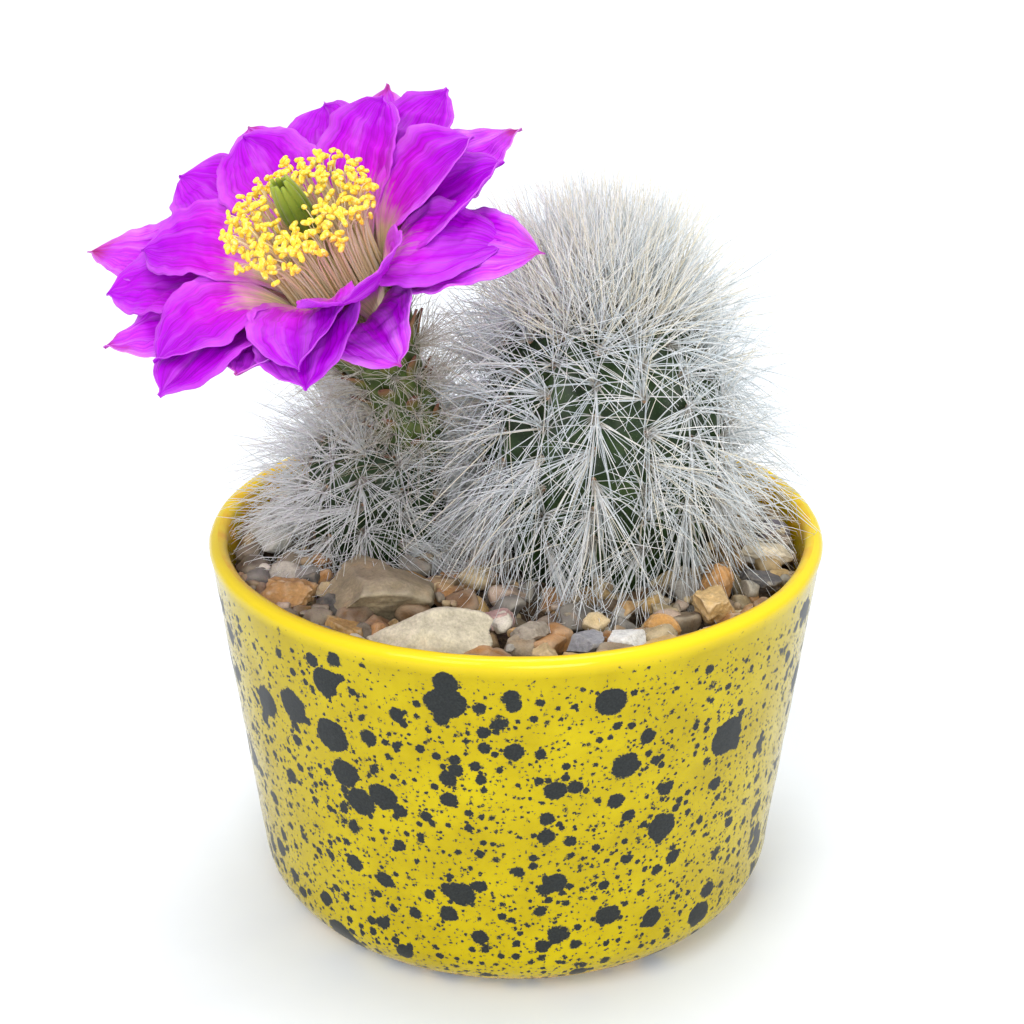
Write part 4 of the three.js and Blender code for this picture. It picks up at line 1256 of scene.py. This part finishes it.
def make_pistil():
    """A pale style that carries ten green stigma lobes, closed into a bundle."""
    green, tree, shader = surface(
        "stigma_velvet", Roughness=0.55, Sheen_Weight=0.25, Subsurface_Weight=0.1, Subsurface_Scale=0.001
    )
    greens = [(0.0, "#B9C46A"), (0.2, "#6E8610"), (0.6, "#566E04"), (1.0, "#8E9E1E")]
    dress(tree, shader, add(tree, "ValToRGB", {"Fac": painted_values(tree)[0]}, stops=greens))

    foot, neck, top = -8.5, 16.8, 28.0
    profile = [(0, foot), (1.0, foot), (0.95, 0), (0.9, neck - 3), (1.25, neck), (0, neck + 0.8)]
    points, faces = lathe(profile, 24)
    style = mesh_piece("style", in_flower(points), faces, green)
    paint(style, "tint", np.zeros((len(points), 3)))
    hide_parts("pistil")

    lobes = 10
    steps, sides = 18, 10
    share = np.linspace(0, 1, steps)
    parts, tints = [], []
    rng = np.random.default_rng(3)
    for i in range(lobes):
        bearing = TURN * i / lobes
        reach = top - rng.uniform(0, 0.9)
        middle = 1.05 + 0.8 * np.sin(math.pi * np.clip(share * 0.9 + 0.12, 0, 1)) ** 0.8 + 0.25 * share**3
        height = neck + (reach - neck) * share
        centre = np.stack([middle * math.cos(bearing), middle * math.sin(bearing), height], -1)
        width = 0.76 * (np.sin(math.pi * np.clip(share * 0.92 + 0.05, 0, 1)) ** 0.5) + 0.05
        outward = np.array([math.cos(bearing), math.sin(bearing), 0])
        sideways = np.array([-math.sin(bearing), math.cos(bearing), 0])
        angles = np.arange(sides) * TURN / sides
        ring = np.cos(angles)[:, None] * outward * 0.8 + np.sin(angles)[:, None] * sideways
        tube = centre[:, None] + ring[None] * width[:, None, None]
        parts.append(closed_rings(tube, centre[[0, -1]]))
        along = np.concatenate([np.repeat(share, sides), [0, 1]])
        tints.append(np.stack([along, along, along], -1))
    points, faces = joined(parts)
    bundle = mesh_piece("stigma_lobes", in_flower(points), faces, green)
    paint(bundle, "tint", np.concatenate(tints))
    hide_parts("pistil")


# ---------------------------------------------------------------- potting mix
def potting_mix():
    """Peat, grit and perlite: dark brown crumbs with pale specks."""
    material, tree, shader = surface("potting_mix_peat", Roughness=0.95)
    mm = in_mm(tree)
    crumbs = add(tree, "TexNoise", {"Vector": mm, "Scale": 0.9, "Detail": 5.0})
    browns = [(0.3, "#1F160F"), (0.55, "#3B2A1E"), (0.72, "#5C4733"), (0.8, "#B9B0A0")]
    dress(tree, shader, add(tree, "ValToRGB", {"Fac": crumbs}, stops=browns))
    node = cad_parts["potting_mix"]
    node.data.materials.clear()
    node.data.materials.append(material)


# ---------------------------------------------------------------- stage
def make_stage():
    scene = bpy.context.scene
    scene.view_settings.view_transform = "Standard"

    paper, tree, shader = surface("studio_paper", Roughness=0.9)
    grain = add(tree, "TexNoise", {"Scale": 400.0, "Detail": 2.0})
    whites = [(0.3, "#ECF1F8"), (0.7, "#EFF4FA")]
    dress(tree, shader, add(tree, "ValToRGB", {"Fac": grain}, stops=whites))
    half = 3000.0
    corners = np.array([[-half, -half, 0], [half, -half, 0], [half, half, 0], [-half, half, 0]])
    floor = mesh_piece("studio_floor", corners, [np.array([[0, 1, 2, 3]])], paper)
    floor.parent = None

    world = bpy.data.worlds.new("studio")
    scene.world = world
    world.use_nodes = True
    background = world.node_tree.nodes["Background"]
    background.inputs["Color"].default_value = linear("#FFFFFF")
    background.inputs["Strength"].default_value = 0.67

    # name, place, size across, power in watts; each looks at the plant's middle
    lamps = [
        ("key_softbox", (-1.0, -1.6, 2.1), 1.5, 25.0),
        ("fill_softbox", (0.5, -2.3, 0.95), 1.2, 29.0),
        ("top_softbox", (0.1, 0.4, 2.6), 1.4, 31.0),
    ]
    target = Vector((0, 0, 0.07))
    for name, place, size, power in lamps:
        data = bpy.data.lights.new(name, "AREA")
        data.shape = "DISK"
        data.size = size
        data.energy = power
        lamp = bpy.data.objects.new(name, data)
        lamp.location = place
        lamp.rotation_euler = (target - Vector(place)).to_track_quat("-Z", "Y").to_euler()
        scene.collection.objects.link(lamp)

    camera_data = bpy.data.cameras.new("camera")
    camera_data.sensor_width = 36
    camera_data.lens = 71.8
    camera_data.clip_start = 0.01
    camera = bpy.data.objects.new("camera", camera_data)
    camera.location = (0, -0.3069, 0.1983)
    camera.rotation_euler = (math.radians(90 - 23.4), 0, math.radians(0.12))
    scene.collection.objects.link(camera)
    scene.camera = camera


# ---------------------------------------------------------------- the whole plant
def main():
    make_stage()
    make_pot()
    potting_mix()
    axis = np.arange(-GROUND_HALF, GROUND_HALF, GROUND_STEP)
    ground = np.full((len(axis), len(axis)), GRAVEL_TOP - 4.0)
    make_bedding()
    make_large_stones(ground)
    make_gravel(ground)
    skin, felt = cactus_skin(), areole_felt()
    make_stem(MAIN, "ribbed_stem", "main_stem", skin)
    make_stem(OFFSET, "ribbed_offset", "offset_stem", skin)
    make_areole_pads(MAIN, "main_areoles", felt, "main_stem")
    make_areole_pads(OFFSET, "offset_areoles", felt, "offset_stem")
    make_spines(ground)
    make_tube(ground)
    make_petals()
    make_stamens()
    make_pistil()


main()
